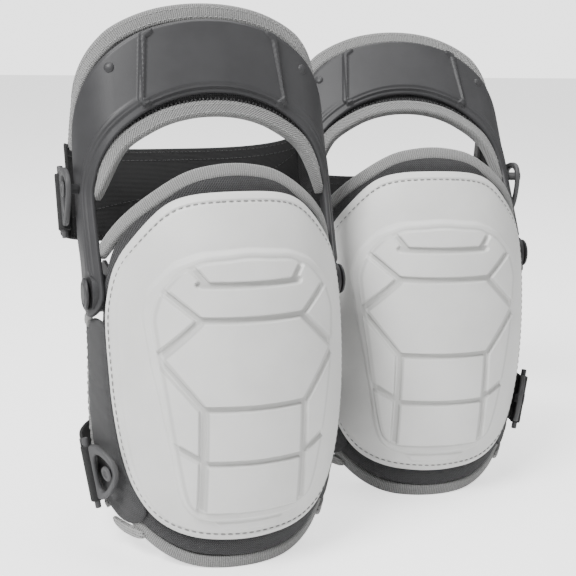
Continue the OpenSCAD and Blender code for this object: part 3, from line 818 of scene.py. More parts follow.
def groove_distance(view):
    """Distance of points [x, z] from the nearest groove between the tiles."""
    best = np.full(len(view), np.inf)
    for start, end in GROOVES:
        best = np.minimum(best, line_distance(view, start, end))
    for (x0, z0), (x1, z1) in SIDE_GROOVES:
        for sign in (-1, 1):
            best = np.minimum(best, line_distance(view, (sign * x0, z0), (sign * x1, z1)))
    return best


def cap_relief(view, outline):
    """Height of the cap's plateau, tiles and stitch channel, and how much shade is painted on each point, in
    the grooves and at the foot of the tiles.
    """
    plateau = inside_distance(view, softened(both_sides(PLATEAU_HALF), 5, 4))
    tiles = inside_distance(view, softened(both_sides(TILE_HALF), 4, 4))
    edge = inside_distance(view, outline[::4])
    groove = groove_distance(view)
    in_groove = 1 - eased(groove, GROOVE_W / 2 - 0.4, GROOVE_W / 2 + 0.4)
    height = PLATEAU_H * eased(plateau, -2.6, 0.2)
    height = height + TILE_H * eased(tiles, -0.4, 0.4) * (1 - in_groove)
    height = height - 0.5 * (1 - eased(np.abs(edge - 5), 0.3, 1.2)) * (plateau < -3)
    foot = inside_distance(view, np.array([(-22, 36.8), (22, 36.8), (17, 31.8), (-17, 31.8)], float))
    height = height + 0.7 * eased(foot, -0.4, 0.5)
    rim = 0.8 * (1 - eased(edge, 1.2, 3.6))
    # Painted shade: full in the grooves across the tiles, and a band just outside each tile's edge.
    depth = in_groove * eased(tiles, 0.0, 1.5) + 0.7 * (1 - eased(np.abs(tiles + 1.0), 0.2, 1.6))
    return height - rim, np.clip(depth, 0, 1)


def cap_shape(outline):
    """The cap with its raised plateau and tiles."""
    flat = unrolled(outline, CAP_R)
    shape = panel(flat, CAP_R, lambda spots: CAP_R + cap_relief(seen(spots, CAP_R), outline)[0],
                  evenly(COVER_R + SKIN_GAP), 1.6, 190, 8, (0, CAP_CENTRE_Z))
    # The painted groove shade, for the cap's material to read.
    shape.painted_shade_and_ribs = cap_relief(shape.points[:, [0, 2]], outline)[1]
    return shape


def inset_path(flat, r_ref, distance, lift, centre, closed=True):
    """A line on a layer at a distance inside a flat outline, with its outward directions."""
    line = flat + inward_normals(flat, np.array(centre, float)) * distance
    a, z = line[:, 0] / r_ref, line[:, 1]
    path, outs = layer_point(r_ref + lift, a, z), layer_normal(r_ref, a, z)
    if closed:
        path, outs = np.vstack([path, path[:1]]), np.vstack([outs, outs[:1]])
    return path, outs


def add_caps():
    outline = cap_outline()
    cap = cap_shape(outline)
    path, outs = inset_path(unrolled(outline, CAP_R), CAP_R, 5.0, -0.2, (0, CAP_CENTRE_Z))
    sewing = stitches(path, outs, 4.6, 3.2, 0.5)
    for side in SIDES:
        add("cap", cap, side, "pad", CAP, ["cap_shell"])
        add("cap_stitches", sewing, side, "pad", THREAD_GREY)


# ---------------------------------------------------------------- the padded shell behind the cap
PAD_MIDDLE = (0, 125)


def cover_shape():
    """The woven cover, which swells a little between the cap's seam and its own edge."""
    outline = resampled(softened(both_sides(COVER_HALF), 12), 420)
    cap = cap_outline()[::9]

    def front(spots):
        beyond = -inside_distance(seen(spots, CAP_R), cap)
        puff = 1.3 * eased(beyond, 0.5, 4.0)
        return COVER_R - 0.6 + np.where(beyond > 0, puff, 0)

    flat = unrolled(outline, COVER_R)
    return panel(flat, COVER_R, front, evenly(FOAM_R + 0.1), 1.2, 60, 6, PAD_MIDDLE)


ACROSS_CHANNELS = (((-62, 150), (62, 150)), ((-62, 70), (62, 70)))
UP_CHANNELS = (((-30, 30), (-30, 225)), ((30, 30), (30, 225)))
CHANNEL_W = 3.2
CHANNEL_DEPTH = 2.6


def cushion_shape():
    """The foam and its lining, swollen, with sewn channels on the knee's side."""
    outline = resampled(cut_corners(both_sides(BODY_HALF), 2), 260)
    flat = unrolled(outline, FOAM_R)
    block = panel(flat, FOAM_R, evenly(FOAM_R - 1.0), evenly(SKIN_R + 1.2), 5.0, 26, 26, PAD_MIDDLE)
    shape = swollen(block, 5.0, 4.0, 2.2)
    points = shape.points
    points[:, 2] = np.maximum(points[:, 2], 0.4)
    sunk = np.zeros(len(points))
    for start, end in UP_CHANNELS + ACROSS_CHANNELS:
        away = line_distance(points[:, [0, 2]], start, end)
        sunk = np.maximum(sunk, np.exp(-(away / CHANNEL_W) ** 2))
    axis = np.array([0.0, SECTION_Y])
    reach = np.linalg.norm(points[:, :2] - axis, axis=1)
    inner = 1 - eased(reach, SKIN_R + 4, SKIN_R + 8)
    share = 1 + (CHANNEL_DEPTH * sunk * inner) / np.maximum(reach, 1)
    points[:, :2] = axis + (points[:, :2] - axis) * share[:, None]
    return with_cloth(shape, SECTION_Y, SKIN_R)


def cushion_stitching():
    """Rows of stitches along the cushion's sewn channels."""
    rows = []
    for start, end in (((-30, 30), (-30, 220)), ((30, 30), (30, 220)), ((-56, 150), (56, 150)),
                       ((-54, 70), (54, 70))):
        line = resampled(np.array([start, end], float), 80, closed=False)
        a = angle_at(line[:, 0], line[:, 1], SKIN_R)
        path = layer_point(SKIN_R + 1.6, a, line[:, 1])
        rows.append(stitches(path, -layer_normal(SKIN_R, a, line[:, 1]), 4.2, 3.0, 0.45))
    return joined(rows)


TOP_TAPE = [[76, 196], [70.5, 208], [63, 219], [52.5, 229.5], [38, 240.5], [25, 247.4], [10, 250.3],
            [0, 250.9]]
FOOT_TAPE = [[74.5, 44], [68, 33.5], [61, 23.5], [52, 15.2], [42, 9.2], [30, 5.4], [15, 4.4], [0, 4.3]]


def tape_on_layer(half, r_mid, width, height):
    """A folded tape along an edge of the pad, and a row of stitches on its front."""
    line = cut_corners(np.array(half + [[-x, z] for x, z in half[-2::-1]], float), 2, closed=False)
    line = resampled(line, 150, closed=False)
    a, z = angle_at(line[:, 0], line[:, 1], r_mid), line[:, 1]
    path = layer_point(r_mid, a, z)
    radial = layer_normal(r_mid, a, z)
    ahead = np.gradient(path, axis=0)
    outs = np.cross(ahead, radial)
    outs /= np.linalg.norm(outs, axis=1, keepdims=True)
    if outs[len(outs) // 2][2] * (1 if line[75][1] > 100 else -1) < 0:
        outs = -outs
    band = sweep(path, outs, soft_box(width, height, 5, 6, radius=min(width, height) / 2 * 0.8))
    sewing = stitches(path + radial * (width / 2 - 0.1) - outs * 1.4, radial, 3.6, 2.5, 0.4)
    return band, sewing


def cap_edge_angle(z):
    """Angle of the cap's edge at height z."""
    outline = cap_outline()
    right = outline[outline[:, 0] > 0]
    right = right[np.argsort(right[:, 1])]
    return angle_at(np.interp(z, right[:, 1], right[:, 0]), z, CAP_R)


def side_flat(points, r_ref):
    """A side outline [y, z] as run and height on the +X side. Points with y None lie on the cap's edge."""
    flat = []
    for y, z in points:
        if y is None:
            a = float(cap_edge_angle(np.array([float(z)]))[0]) + 2.2 / r_ref
        else:
            a = math.acos(max(-1.0, min(1.0, (SECTION_Y - y) / float(waist(r_ref, float(z))))))
        flat.append((r_ref * a, z))
    return np.array(flat)


WING_OUTLINE = [[None, 150], [-24, 155], [-8, 155], [4, 148.5], [28, 147.5], [28, 132], [26, 118],
                [15.5, 90], [6.5, 60], [-3.5, 33], [-20, 23.5], [-38, 23.5], [None, 37], [None, 52],
                [None, 74], [None, 100], [None, 125]]
TAB_OUTLINE = [[-43, 14], [-14, 14], [-11, 21.5], [-24, 22.3], [-42, 22.3]]
WING_BACK = [[2, 147.9], [20, 147.8], [28.2, 146.5], [28.8, 140], [28.3, 130], [26.5, 118], [16, 90], [7, 60],
             [-3, 33.5], [-9, 27]]


def wing_shape():
    """One padded side wing, with two sewn lines across it."""
    flat = resampled(cut_corners(side_flat(WING_OUTLINE, WING_R), 2), 260)

    def front(spots):
        edge = inside_distance(spots, flat[::3])
        seam = np.zeros(len(spots))
        for level in (112.0, 58.0):
            seam = np.maximum(seam, np.exp(-((spots[:, 1] - level) / 2.0) ** 2))
        ripple = 0.25 * np.sin(spots[:, 1] * 0.55) * np.sin(spots[:, 0] * 0.21)
        return WING_R - 0.9 + 0.9 * eased(edge, 0, 7) - 0.7 * seam + ripple

    return panel(flat, WING_R, front, evenly(COVER_R + SKIN_GAP), 1.4, 46, 6, flat.mean(0))


def wing_edge():
    """Binding down a wing's back edge, puckered by its stitches."""
    flat = side_flat(WING_BACK, WING_R)
    flat = resampled(cut_corners(flat, 2, closed=False), 130, closed=False)
    a, z = flat[:, 0] / WING_R, flat[:, 1]
    mid = WING_R - 1.6
    path, radial = layer_point(mid, a, z), layer_normal(mid, a, z)
    pucker = 0.25 * np.sin(np.arange(len(path)) * 1.3)
    path = path + radial * pucker[:, None]
    outs = np.cross(np.gradient(path, axis=0), radial)
    outs /= np.linalg.norm(outs, axis=1, keepdims=True)
    if outs[60][1] < 0:
        outs = -outs
    band = sweep(path, outs, soft_box(4.4, 5.6, 5, 5, radius=2.0))
    sewing = stitches(path + radial * 2.25 - outs * 1.2, radial, 3.4, 2.3, 0.38)
    return band, sewing


def tab_shape():
    """The light tab of mesh below a wing."""
    flat = resampled(cut_corners(side_flat(TAB_OUTLINE, WING_R), 2), 90)
    return panel(flat, WING_R, evenly(WING_R - 0.2), evenly(COVER_R + 0.2), 1.2, 10, 4, flat.mean(0))


def zigzags():
    """Short zigzag bar tacks that hold the elastic to a wing."""
    rows = []
    for z in (105.0, 54.0):
        first = float(cap_edge_angle(np.array([z]))[0]) + 5 / WING_R
        a = np.linspace(first, first + 19 / WING_R, 40)
        path = layer_point(WING_R - 0.1, a, np.full(40, z) + np.linspace(0, -1.5, 40))
        rows.append(stitches(path, layer_normal(WING_R, a, np.full(40, z)), 1.5, 4.2, 0.35, slant=1.05))
    return joined(rows)


def add_padding():
    cover, cushion, channels = cover_shape(), cushion_shape(), cushion_stitching()
    top, top_sewing = tape_on_layer(TOP_TAPE, (COVER_R + FOAM_R) / 2 - 0.2, 6.4, 9.6)
    foot, foot_sewing = tape_on_layer(FOOT_TAPE, (COVER_R + FOAM_R) / 2 - 0.1, 5.4, 9.4)
    wing, (edge, edge_sewing), tab, tacks = wing_shape(), wing_edge(), tab_shape(), zigzags()
    for side in SIDES:
        padded = add("cover", cover, side, "pad", COVER, ["pad_cover"])
        padded = add("knee_cushion", cushion, side, "pad", LINING, ["foam_core", "inner_lining"])
        add("cushion_stitches", channels, side, "pad", THREAD_DARK)
        add("top_tape", top, side, "pad", TAPE, ["top_binding"])
        add("foot_tape", foot, side, "pad", TAPE, ["bottom_binding"])
        add("tape_stitches", joined([top_sewing, foot_sewing]), side, "pad", THREAD_GREY)
        for name, turn in (("inner", lambda shape: shape), ("outer", mirrored_x)):
            padded = add(name + "_side_wing", turn(wing), side, "pad", COVER, [name + "_wing"])
            nodes = ["wing_binding"] if name == "outer" else []
            add(name + "_wing_tape", turn(edge), side, "pad", TAPE, nodes)
            nodes = ["wing_tabs"] if name == "outer" else []
            add(name + "_tab", turn(tab), side, "pad", MESH, nodes)
            sewing = joined([edge_sewing, tacks]) if name == "inner" else turn(edge_sewing)
            add(name + "_wing_stitches", sewing, side, "pad", THREAD_LIGHT)


# ---------------------------------------------------------------- the cuff
SHELL_LOWER = [(100.4, -15), (92, -12.8), (86.5, -8), (84.7, 0), (86.2, 30), (87, 60), (83.5, 72), (77.5, 83),
               (67.9, 94.2), (55.9, 103.9), (40.4, 112.4), (20, 118.6), (0, 120.5)]
SHELL_UPPER = [(100.4, -15), (108.5, -12.8), (114, -6.5), (115.2, 3), (114, 30), (111, 60), (109.5, 84),
               (105, 108), (91, 129), (72, 147), (49, 161), (24, 167.6), (0, 169.5)]
LINER_LOWER = [(135, 62), (128, 60), (112, 60), (97, 60), (86, 62), (77, 69), (68, 82), (60, 90), (49.7, 96),
               (33.2, 103), (16, 106.5), (0, 107.5)]
LINER_UPPER = [(139, 68), (142, 86), (138, 105), (126.5, 117), (111, 128), (98, 139), (86, 150), (75, 158),
               (60, 168), (38, 175.5), (18, 178.3), (0, 179)]
HINGE_RUN = 100.4
RIDGES = (((43.5, 158), (47.5, 117)), ((43.5, 158), (39.5, 161)), ((47.5, 117), (44, 114.5)))
CUFF_RIVET = (66.8, 140.0)
ARM_END_X = 86.4


def shell_relief(p, z, from_low, from_high):
    """Relief of the moulded cuff: its step along the arch, its panel with slanted ends, and the arm's rib."""
    shape = p.shape
    x, _, _, _ = cuff_plan(p, 0.0)
    view = np.stack([x, z], -1).reshape(-1, 2)
    panel_outline = np.array([(-43.5, 190), (43.5, 190), (47.5, 100), (-47.5, 100)], float)
    arch_gap, top_gap = from_low.reshape(-1), from_high.reshape(-1)
    inside = np.minimum(inside_distance(view, panel_outline), np.minimum(arch_gap - 3.0, top_gap - 2.0))
    raised = 1.7 * eased(inside, -0.5, 0.5)
    ridge = np.full(len(view), np.inf)
    folded = np.abs(view) * [1, 0] + view * [0, 1]
    for start, end in RIDGES:
        ridge = np.minimum(ridge, line_distance(folded, start, end))
    raised = raised + 1.7 * (1 - eased(ridge, 1.4, 2.4))
    step = 0.9 * eased(arch_gap, 5.0, 6.4)
    on_arm = 1 - eased(view[:, 1], 95, 125)
    rib = 0.7 * on_arm * (1 - eased(np.abs(arch_gap - 9.5), 0.8, 2.0))
    lip = -0.5 * (1 - eased(top_gap, 1.5, 3.0))
    run = np.abs(p).reshape(-1)
    boss = 1 - eased(np.hypot(run - HINGE_RUN, view[:, 1]), 11.5, 14.5)
    fade = (1 - boss) * eased(view[:, 1], -14, 14)
    return ((raised + step + rib + lip) * fade).reshape(shape)


def shell_shape():
    """The moulded cuff with its arms and the bosses that turn on the rivets."""
    shell = strip(SHELL_LOWER, SHELL_UPPER, 324, 84, shell_relief, CUFF_T, 1.3)
    low = 1 - eased(shell.points[:, 2], 14, 40)
    over = np.maximum(np.abs(shell.points[:, 0]) - ARM_END_X + 0.02, 0)
    shell.points[:, 0] -= np.sign(shell.points[:, 0]) * over * low
    boss = turned([(3.3, 74.2), (11.2, 74.2), (12, 75), (12, 84.5), (3.3, 84.5), (3.3, 74.2)], 48)
    return joined([shell, boss, mirrored_x(boss)])


def liner_shape():
    """The padded liner of the cuff, swollen by simulation."""
    def sunk(p, z, from_low, from_high):
        return np.full(p.shape, -0.3)

    block = strip(LINER_LOWER, LINER_UPPER, 132, 16, sunk, LINER_T - 0.6, 2.2, base=CUFF_T + 0.4)
    shape = swollen(block, 4.0, 4.0, 1.1)
    return with_cloth(shape, 60.0, 90.0)


def cuff_path(stations, off, count=220):
    """A smooth line on the cuff's plan, with its outward and in-surface directions."""
    whole = list(stations) + [(-p, z) for p, z in reversed(stations[:-1])]
    line = resampled(cut_corners(np.array(whole, float), 3, closed=False), count, closed=False)
    x, y, nx, ny = cuff_plan(line[:, 0], off)
    path = np.stack([x, y, line[:, 1]], 1)
    radial = np.stack([nx, ny, np.zeros(count)], 1)
    across = np.cross(np.gradient(path, axis=0), radial)
    across /= np.linalg.norm(across, axis=1, keepdims=True)
    if across[count // 2][2] < 0:
        across = -across
    return path, radial, across


TOP_EDGE = [(137, 104), (127, 114.5), (111, 126.5), (98, 137), (86, 147), (75, 155), (60, 164.5), (38, 171.7),
            (18, 174.5), (0, 175.2)]
ARCH_EDGE = [(92, 62.5), (87.5, 65.5), (80, 73.5), (71, 85.5), (62, 94), (51.5, 99.8), (35, 107), (17, 110.8),
             (0, 111.8)]


def cuff_tape(stations, height, sign):
    """A folded tape along the liner's edge, with two rows of stitches."""
    path, radial, across = cuff_path(stations, CUFF_T + LINER_T / 2 + 0.1)
    band = sweep(path, across * sign, soft_box(LINER_T + 1.8, height, 5, 8, radius=2.2))
    rows = []
    for shift in (-height * 0.3, height * 0.22):
        spot = path + radial * (LINER_T / 2 + 1.05) + across * shift
        rows.append(stitches(spot, radial, 3.4, 2.2, 0.36))
    return band, joined(rows)


def toothed_line():
    """The fine dark seam between the moulding and the ribbed tape."""
    stations = [(87, 72), (80, 81), (71, 92), (60, 100.8), (51.5, 105.6), (35, 112.4), (17, 116), (0, 117)]
    path, radial, _ = cuff_path(stations, CUFF_T - 0.2)
    return stitches(path, radial, 2.6, 3.0, 0.45, slant=1.2)


def liner_rivet():
    """A small domed rivet through the moulding."""
    dome = turned([(0.02, 2.1), (1.6, 2.0), (2.7, 1.6), (3.4, 0.9), (3.5, 0.1), (3.2, -0.4), (1.4, -0.4),
                   (1.4, -4.5), (0.02, -4.5)], 28)
    run, height = CUFF_RIVET
    x, y, nx, ny = cuff_plan(np.array([run]), 0.0)
    turn = math.atan2(ny[0], nx[0])
    return moved(dome, Matrix.Translation((x[0], y[0], height)) @ Matrix.Rotation(turn, 4, "Z"))


def add_cuffs():
    shell, liner, rivet, teeth = shell_shape(), liner_shape(), liner_rivet(), toothed_line()
    top, top_sewing = cuff_tape(TOP_EDGE, 12.0, 1)
    arch, arch_sewing = cuff_tape(ARCH_EDGE, 10.4, -1)
    for side in SIDES:
        add("cuff_moulding", shell, side, "cuff", MOULDED, ["cuff_shell"], cuff=True, sharp=50)
        padded = add("cuff_padding", liner, side, "cuff", CUFF_FABRIC, ["cuff_liner"], cuff=True)
        add("cuff_top_tape", top, side, "cuff", TAPE, ["cuff_top_binding"], cuff=True)
        add("cuff_arch_tape", arch, side, "cuff", RIBBED, ["cuff_arch_binding"], cuff=True)
        add("cuff_stitches", joined([top_sewing, arch_sewing]), side, "cuff", THREAD_LIGHT,
            cuff=True)
        add("cuff_seam", teeth, side, "cuff", THREAD_DARK, cuff=True)
        add("cuff_rivets", joined([rivet, mirrored_x(rivet)]), side, "cuff", MOULDED,
            ["liner_rivets"], cuff=True)


# ---------------------------------------------------------------- straps, ring clips, posts and rivets
STRAP_W = 38.0
STRAP_T = 2.2
CLIP_R = 88.6
CLIP_REACH = 19.0
THIGH_CLIP_X = 93.6
BUTTON = (-3.5, 4.0)
CLIP_OUTER = [[-23, 8], [21, 28], [21, -28]]
CLIP_HOLE = [[-14.5, 6.5], [13, 19.5], [13, -18.5]]
CALF_LEAN = math.radians(5.7)


def calf_matrix(lean):
    """The frame of the calf ring's clip in pad coordinates."""
    turn = Matrix.Rotation(math.radians(270 - 66.5), 4, "Z") @ Matrix.Rotation(lean, 4, "Y")
    tilt = Matrix.Rotation(math.radians(9), 4, "X") @ Matrix.Diagonal((1, -1, 1, 1))
    return Matrix.Translation((0, SECTION_Y, 66)) @ turn @ tilt


THIGH_FRAME = Matrix.Translation((0, 3.5, 64))


def clip_shape():
    """A ring clip in the YZ plane with round edges, and its round bar."""
    outer = resampled(cut_corners(np.array(CLIP_OUTER, float), 4), 150)
    hole = resampled(cut_corners(np.array(CLIP_HOLE, float), 4), 150)
    hole = np.roll(hole, -int(np.argmin(np.linalg.norm(hole - outer[0], axis=1))), axis=0)
    rings = []
    for share, height in ((0.0, -0.45), (0.0, 0.45), (0.06, 0.85), (0.16, 1.0), (0.5, 1.06), (0.84, 1.0),
                          (0.94, 0.85), (1.0, 0.45), (1.0, -0.45), (0.94, -0.85), (0.84, -1.0),
                          (0.5, -1.06), (0.16, -1.0), (0.06, -0.85)):
        line = outer + (hole - outer) * share
        rings.append(np.column_stack([np.full(len(line), 1.7 * height), line]))
    ring = Shape(np.vstack(rings), grid_faces(len(rings), len(outer), wrap_rows=True))
    ring = slotted(ring, (-4, 14.4, -22), (4, 30, 22))
    bar = turned([(0.02, -24), (1.7, -24), (2.0, -23.6), (2.0, 23.6), (1.7, 24), (0.02, 24)], 20)
    stand = Matrix.Translation((0, CLIP_REACH, 0)) @ Matrix.Rotation(math.radians(-90), 4, "Y")
    return joined([ring, moved(bar, stand)])


def slotted(shape, low, high):
    """A shape with a box cut out of it."""
    corners = [[x, y, z] for x in (low[0], high[0]) for y in (low[1], high[1]) for z in (low[2], high[2])]
    sides = [[0, 1, 3, 2], [4, 6, 7, 5], [0, 4, 5, 1], [2, 3, 7, 6], [0, 2, 6, 4], [1, 5, 7, 3]]
    pieces = []
    for part in (shape, Shape(corners, sides)):
        mesh = bpy.data.meshes.new("cutting")
        mesh.from_pydata(part.points.tolist(), [], part.faces)
        outward(mesh)
        pieces.append(bpy.data.objects.new("cutting", mesh))
        bpy.context.scene.collection.objects.link(pieces[-1])
    body, tool = pieces
    cut = body.modifiers.new("slot", "BOOLEAN")
    cut.operation = "DIFFERENCE"
    cut.solver = "EXACT"
    cut.object = tool
    bpy.context.view_layer.update()
    baked(body)
    result = Shape(vertex_array(body.data), [list(face.vertices) for face in body.data.polygons])
    bpy.data.objects.remove(body)
    bpy.data.objects.remove(tool)
    return result


def eye_loop():
    """The strap's eye round a clip's bar, seen along the bar, as a path of centre points."""
    a = np.linspace(math.radians(95), math.radians(445), 40)
    radius = 3.2
    return np.stack([radius * np.cos(a), radius * np.sin(a), np.zeros(40)], 1)


def calf_line(first, last, off, count=90):
    """The calf strap's path."""
    a = np.linspace(first, last, count)
    bump = np.sin(np.radians(np.clip((a - 100) * 180 / 160, 0, 180))) ** 2
    slope = eased(a, 190, 265)
    r = CLIP_R - 18 * bump - 13.7 * slope + off
    t = np.radians(a - 66.5)
    return np.stack([r * np.cos(t), r * np.sin(t), np.zeros(count)], 1)


def thigh_line(first, last, off, count=90):
    """The thigh strap's path."""
    a = np.radians(np.linspace(first, last, count))
    w = np.where(np.cos(a) > 0, 87.1, THIGH_CLIP_X)
    x = np.sign(np.cos(a)) * (w + off) * np.abs(np.cos(a)) ** 0.62
    y = (56 + off) * np.abs(np.sin(a)) ** 0.75 + CLIP_REACH + 3
    return np.stack([x, y, np.zeros(count)], 1)


def strap_shape(path, outward_hint, width=STRAP_W, thickness=STRAP_T):
    """A flat woven strap along a path whose width is along Z."""
    ahead = np.gradient(path, axis=0)
    outs = np.cross(ahead, [0, 0, 1.0])
    outs /= np.linalg.norm(outs, axis=1, keepdims=True)
    if np.mean(np.sum(outs * (path - outward_hint), 1)) < 0:
        outs = -outs
    strap = sweep(path, outs, soft_box(width, thickness, 3, 22))
    across = strap.cloth[:, 0]
    ribs = 0.12 * np.cos(across * 2 * math.pi / 3.1)
    return Shape(strap.points, strap.faces, strap.cloth, ribs), outs


def bar_tack(spot, ahead, out, width, rows=3):
    """A sewn box of zigzag stitches across a strap."""
    shapes = []
    for k in range(rows):
        start = np.array(spot) + np.array(ahead) * (k * 3.2)
        line = np.array([start + np.array([0, 0, -width / 2]), start + np.array([0, 0, width / 2])])
        line = np.linspace(line[0], line[1], 30)
        shapes.append(stitches(line, np.broadcast_to(out, (30, 3)), 1.7, 2.6, 0.34, slant=0.7))
    return joined(shapes)


BAND_UP = 48.0


def band_line(first, last, count=110):
    """Path of the wide band at the back of the thigh strap."""
    line = thigh_line(first, last, -STRAP_T - 0.1, count)
    return line + [0, 0, (BAND_UP - STRAP_W / 2) / 2]


def band_sewing(line):
    """Rows of stitches along the wide band's edges and across it on the slant."""
    outs = np.cross(np.gradient(line, axis=0), [0, 0, 1.0])
    outs /= np.linalg.norm(outs, axis=1, keepdims=True)
    half = (BAND_UP + STRAP_W / 2) / 2
    levels = [np.full(len(line), level) for level in (half - 3, half - 9, 3 - half)]
    levels.append(np.linspace(-half + 14, half - 12, len(line)))
    rows = []
    for level in levels:
        for side in (-1, 1):
            lift = outs * side * (STRAP_T / 2 + 0.05)
            rows.append(stitches(line + lift + level[:, None] * [0, 0, 1.0], outs * side, 3.4, 2.4, 0.36))
    return joined(rows)


def strap_parts(strap_line, tail_line, bar_x, mirror, tail_w=STRAP_W):
    """The clip-side strap with its eye, the tail, and their stitches, in a clip frame."""
    sign = -1 if mirror else 1
    eye = eye_loop() * [sign, 1, 1] + [sign * bar_x, CLIP_REACH, 0]
    eye_out = (eye - [sign * bar_x, CLIP_REACH, 0])
    eye_out /= np.linalg.norm(eye_out, axis=1, keepdims=True)
    loop = sweep(eye, eye_out, soft_box(STRAP_W - 0.4, 1.5, 3, 16))
    centre = np.array([0, 20, 0.0])
    strap, outs = strap_shape(strap_line, centre)
    tail, _ = strap_shape(tail_line, centre, tail_w)
    tacks = []
    run = np.gradient(strap_line, axis=0)
    run /= np.linalg.norm(run, axis=1, keepdims=True)
    for k in (5, 12):
        spot = strap_line[k] + outs[k] * (STRAP_T / 2 + 0.1)
        tacks.append(bar_tack(spot, run[k], outs[k], STRAP_W - 8))
    return joined([strap, loop]), tail, joined(tacks)


def post_shape(foot, top):
    """A round post along +X with a domed head."""
    return turned([(0.02, foot), (3.2, foot), (3.2, top - 1.5), (4.5, top - 1.4), (5.0, top - 1.0),
                   (4.9, top - 0.45), (4.2, top - 0.1), (2.4, top), (2.2, top - 0.5), (0.02, top - 0.55)], 40)


def rivet_shape():
    """The hinge rivet: shank, washer step and a domed head with a crescent groove."""
    head = turned([(0.02, 72.2), (3.0, 72.2), (3.0, 86.5), (9.4, 86.5), (10.2, 86.9), (10.3, 87.6),
                   (10.0, 88.3), (9.0, 88.75), (8.0, 88.9), (7.4, 88.3), (6.8, 88.25), (6.2, 88.9),
                   (3.4, 89.0), (0.02, 89.0)], 64)
    return moved(head, Matrix.Translation((0, 0, PIVOT_Z)))


def add_straps():
    clip, rivet = clip_shape(), rivet_shape()
    calf_up, calf_down = calf_matrix(CALF_LEAN), calf_matrix(-CALF_LEAN)
    calf, calf_tail, calf_sewing = strap_parts(calf_line(80.2, 174, 0), calf_line(158, 265, STRAP_T + 0.5),
                                               CLIP_R, False)
    flip = Matrix.Diagonal((-1, 1, 1, 1))
    clip_left = moved(clip, THIGH_FRAME @ Matrix.Translation((-THIGH_CLIP_X, 0, 0)) @ flip)
    back = band_line(150, 13)
    thigh, thigh_tail, thigh_sewing = strap_parts(thigh_line(179, 75, 0), back, THIGH_CLIP_X, True,
                                                  BAND_UP + STRAP_W / 2)
    thigh_sewing = joined([thigh_sewing, band_sewing(back)])
    button = moved(post_shape(CLIP_R - 3.6, CLIP_R + 3.5), calf_up @ Matrix.Translation((0, *BUTTON)))
    post = mirrored_x(moved(post_shape(83.5, THIGH_CLIP_X + 3.5), Matrix.Translation((0, 0, 68))))
    for side in SIDES:
        add("calf_ring_clip", moved(clip, calf_up @ Matrix.Translation((CLIP_R, 0, 0))), side, "calf_ring",
            CLIP, ["calf_clip"], sharp=50)
        add("calf_elastic", moved(calf, calf_up), side, "pad", ELASTIC, ["calf_strap"])
        add("calf_elastic_tail", moved(calf_tail, calf_down), side, "pad", ELASTIC,
            ["calf_strap_tail"])
        add("calf_sewing", moved(calf_sewing, calf_up), side, "pad", THREAD_DARK)
        add("calf_post", button, side, "pad", CLIP, ["calf_button"])
        add("thigh_ring_clip", clip_left, side, "thigh_ring", CLIP, ["thigh_clip"], cuff=True,
            sharp=50)
        add("thigh_elastic", moved(thigh, THIGH_FRAME), side, "cuff", ELASTIC, ["thigh_strap"],
            cuff=True)
        add("thigh_elastic_tail", moved(thigh_tail, THIGH_FRAME), side, "cuff", ELASTIC,
            ["thigh_strap_tail"], cuff=True)
        add("thigh_sewing", moved(thigh_sewing, THIGH_FRAME), side, "cuff", THREAD_DARK, cuff=True)
        add("thigh_post", post, side, "cuff", CLIP, ["cuff_post"], cuff=True)
        add("hinge_heads", joined([rivet, mirrored_x(rivet)]), side, "pad", MOULDED,
            ["hinge_rivets"], sharp=40)


def dress_frame_nodes():
    """Materials on the CAD nodes that stay."""
    for side in SIDES:
        for node, material in (("gel_insert", GEL), ("hinge_plates", PLATE), ("hinge_washers", CLIP)):
            piece = bpy.data.objects[side + "_" + node]
            piece.data.materials.clear()
            piece.data.materials.append(material)


# ---------------------------------------------------------------- the studio
def add_floor():
    mesh = bpy.data.meshes.new("floor")
    work = bmesh.new()
    bmesh.ops.create_grid(work, x_segments=1, y_segments=1, size=6)
    work.to_mesh(mesh)
    work.free()
    mesh.materials.append(studio_floor())
    floor = bpy.data.objects.new("floor", mesh)
    bpy.context.scene.collection.objects.link(floor)


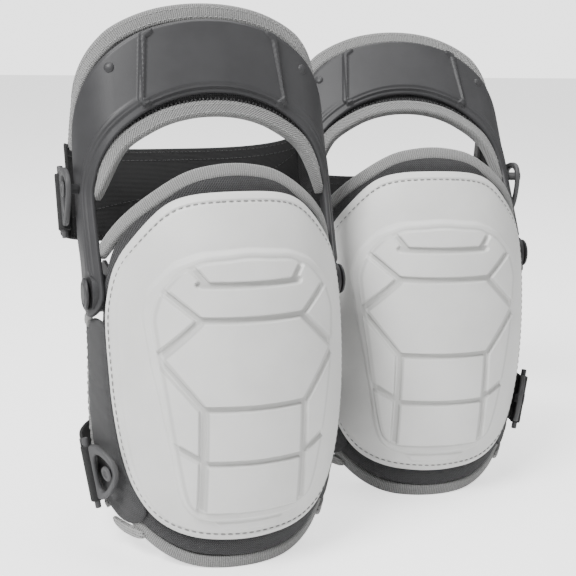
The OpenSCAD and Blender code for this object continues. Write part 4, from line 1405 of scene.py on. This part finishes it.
def add_light(name, spot, target, size, power):
    light = bpy.data.lights.new(name, "AREA")
    light.size = size
    light.energy = power
    lamp = bpy.data.objects.new(name, light)
    lamp.location = spot
    lamp.rotation_euler = (Vector(target) - Vector(spot)).to_track_quat("-Z", "Y").to_euler()
    bpy.context.scene.collection.objects.link(lamp)


def add_studio():
    """Bright surroundings, soft lamps and the camera."""
    scene = bpy.context.scene
    world = bpy.data.worlds.new("studio")
    world.use_nodes = True
    tree = world.node_tree
    light, seen_directly = tree.nodes["Background"], tree.nodes.new("ShaderNodeBackground")
    for surroundings, strength in ((light, 0.3), (seen_directly, 2.6)):
        surroundings.inputs["Color"].default_value = (1, 1, 1, 1)
        surroundings.inputs["Strength"].default_value = strength
    rays, choice = tree.nodes.new("ShaderNodeLightPath"), tree.nodes.new("ShaderNodeMixShader")
    tree.links.new(rays.outputs["Is Camera Ray"], choice.inputs["Fac"])
    tree.links.new(light.outputs["Background"], choice.inputs[1])
    tree.links.new(seen_directly.outputs["Background"], choice.inputs[2])
    tree.links.new(choice.outputs["Shader"], tree.nodes["World Output"].inputs["Surface"])
    scene.world = world
    middle = (0, 0, 0.17)
    add_light("key_light", (-1.1, -0.7, 1.6), middle, 0.7, 50)
    add_light("fill_light", (1.4, -0.9, 0.9), middle, 1.4, 5)
    add_light("top_light", (0.1, 0.3, 1.9), middle, 1.4, 26)
    hinge = JOINTS["left_cuff_hinge"]["pos_m"]
    lens = bpy.data.cameras.new("camera")
    lens.lens = 68.69
    lens.sensor_width = 36
    camera = bpy.data.objects.new("camera", lens)
    turn = Matrix.Rotation(math.radians(-20.6), 4, "Z") @ Matrix.Rotation(math.radians(76.4), 4, "X")
    spot = Matrix.Translation((hinge[0] - 0.2051, hinge[1] - 0.6793, 0.341))
    camera.matrix_world = spot @ turn @ Matrix.Rotation(math.radians(1.4), 4, "Z")
    scene.collection.objects.link(camera)
    scene.camera = camera


add_caps()
add_padding()
add_cuffs()
add_straps()
dress_frame_nodes()
add_floor()
add_studio()
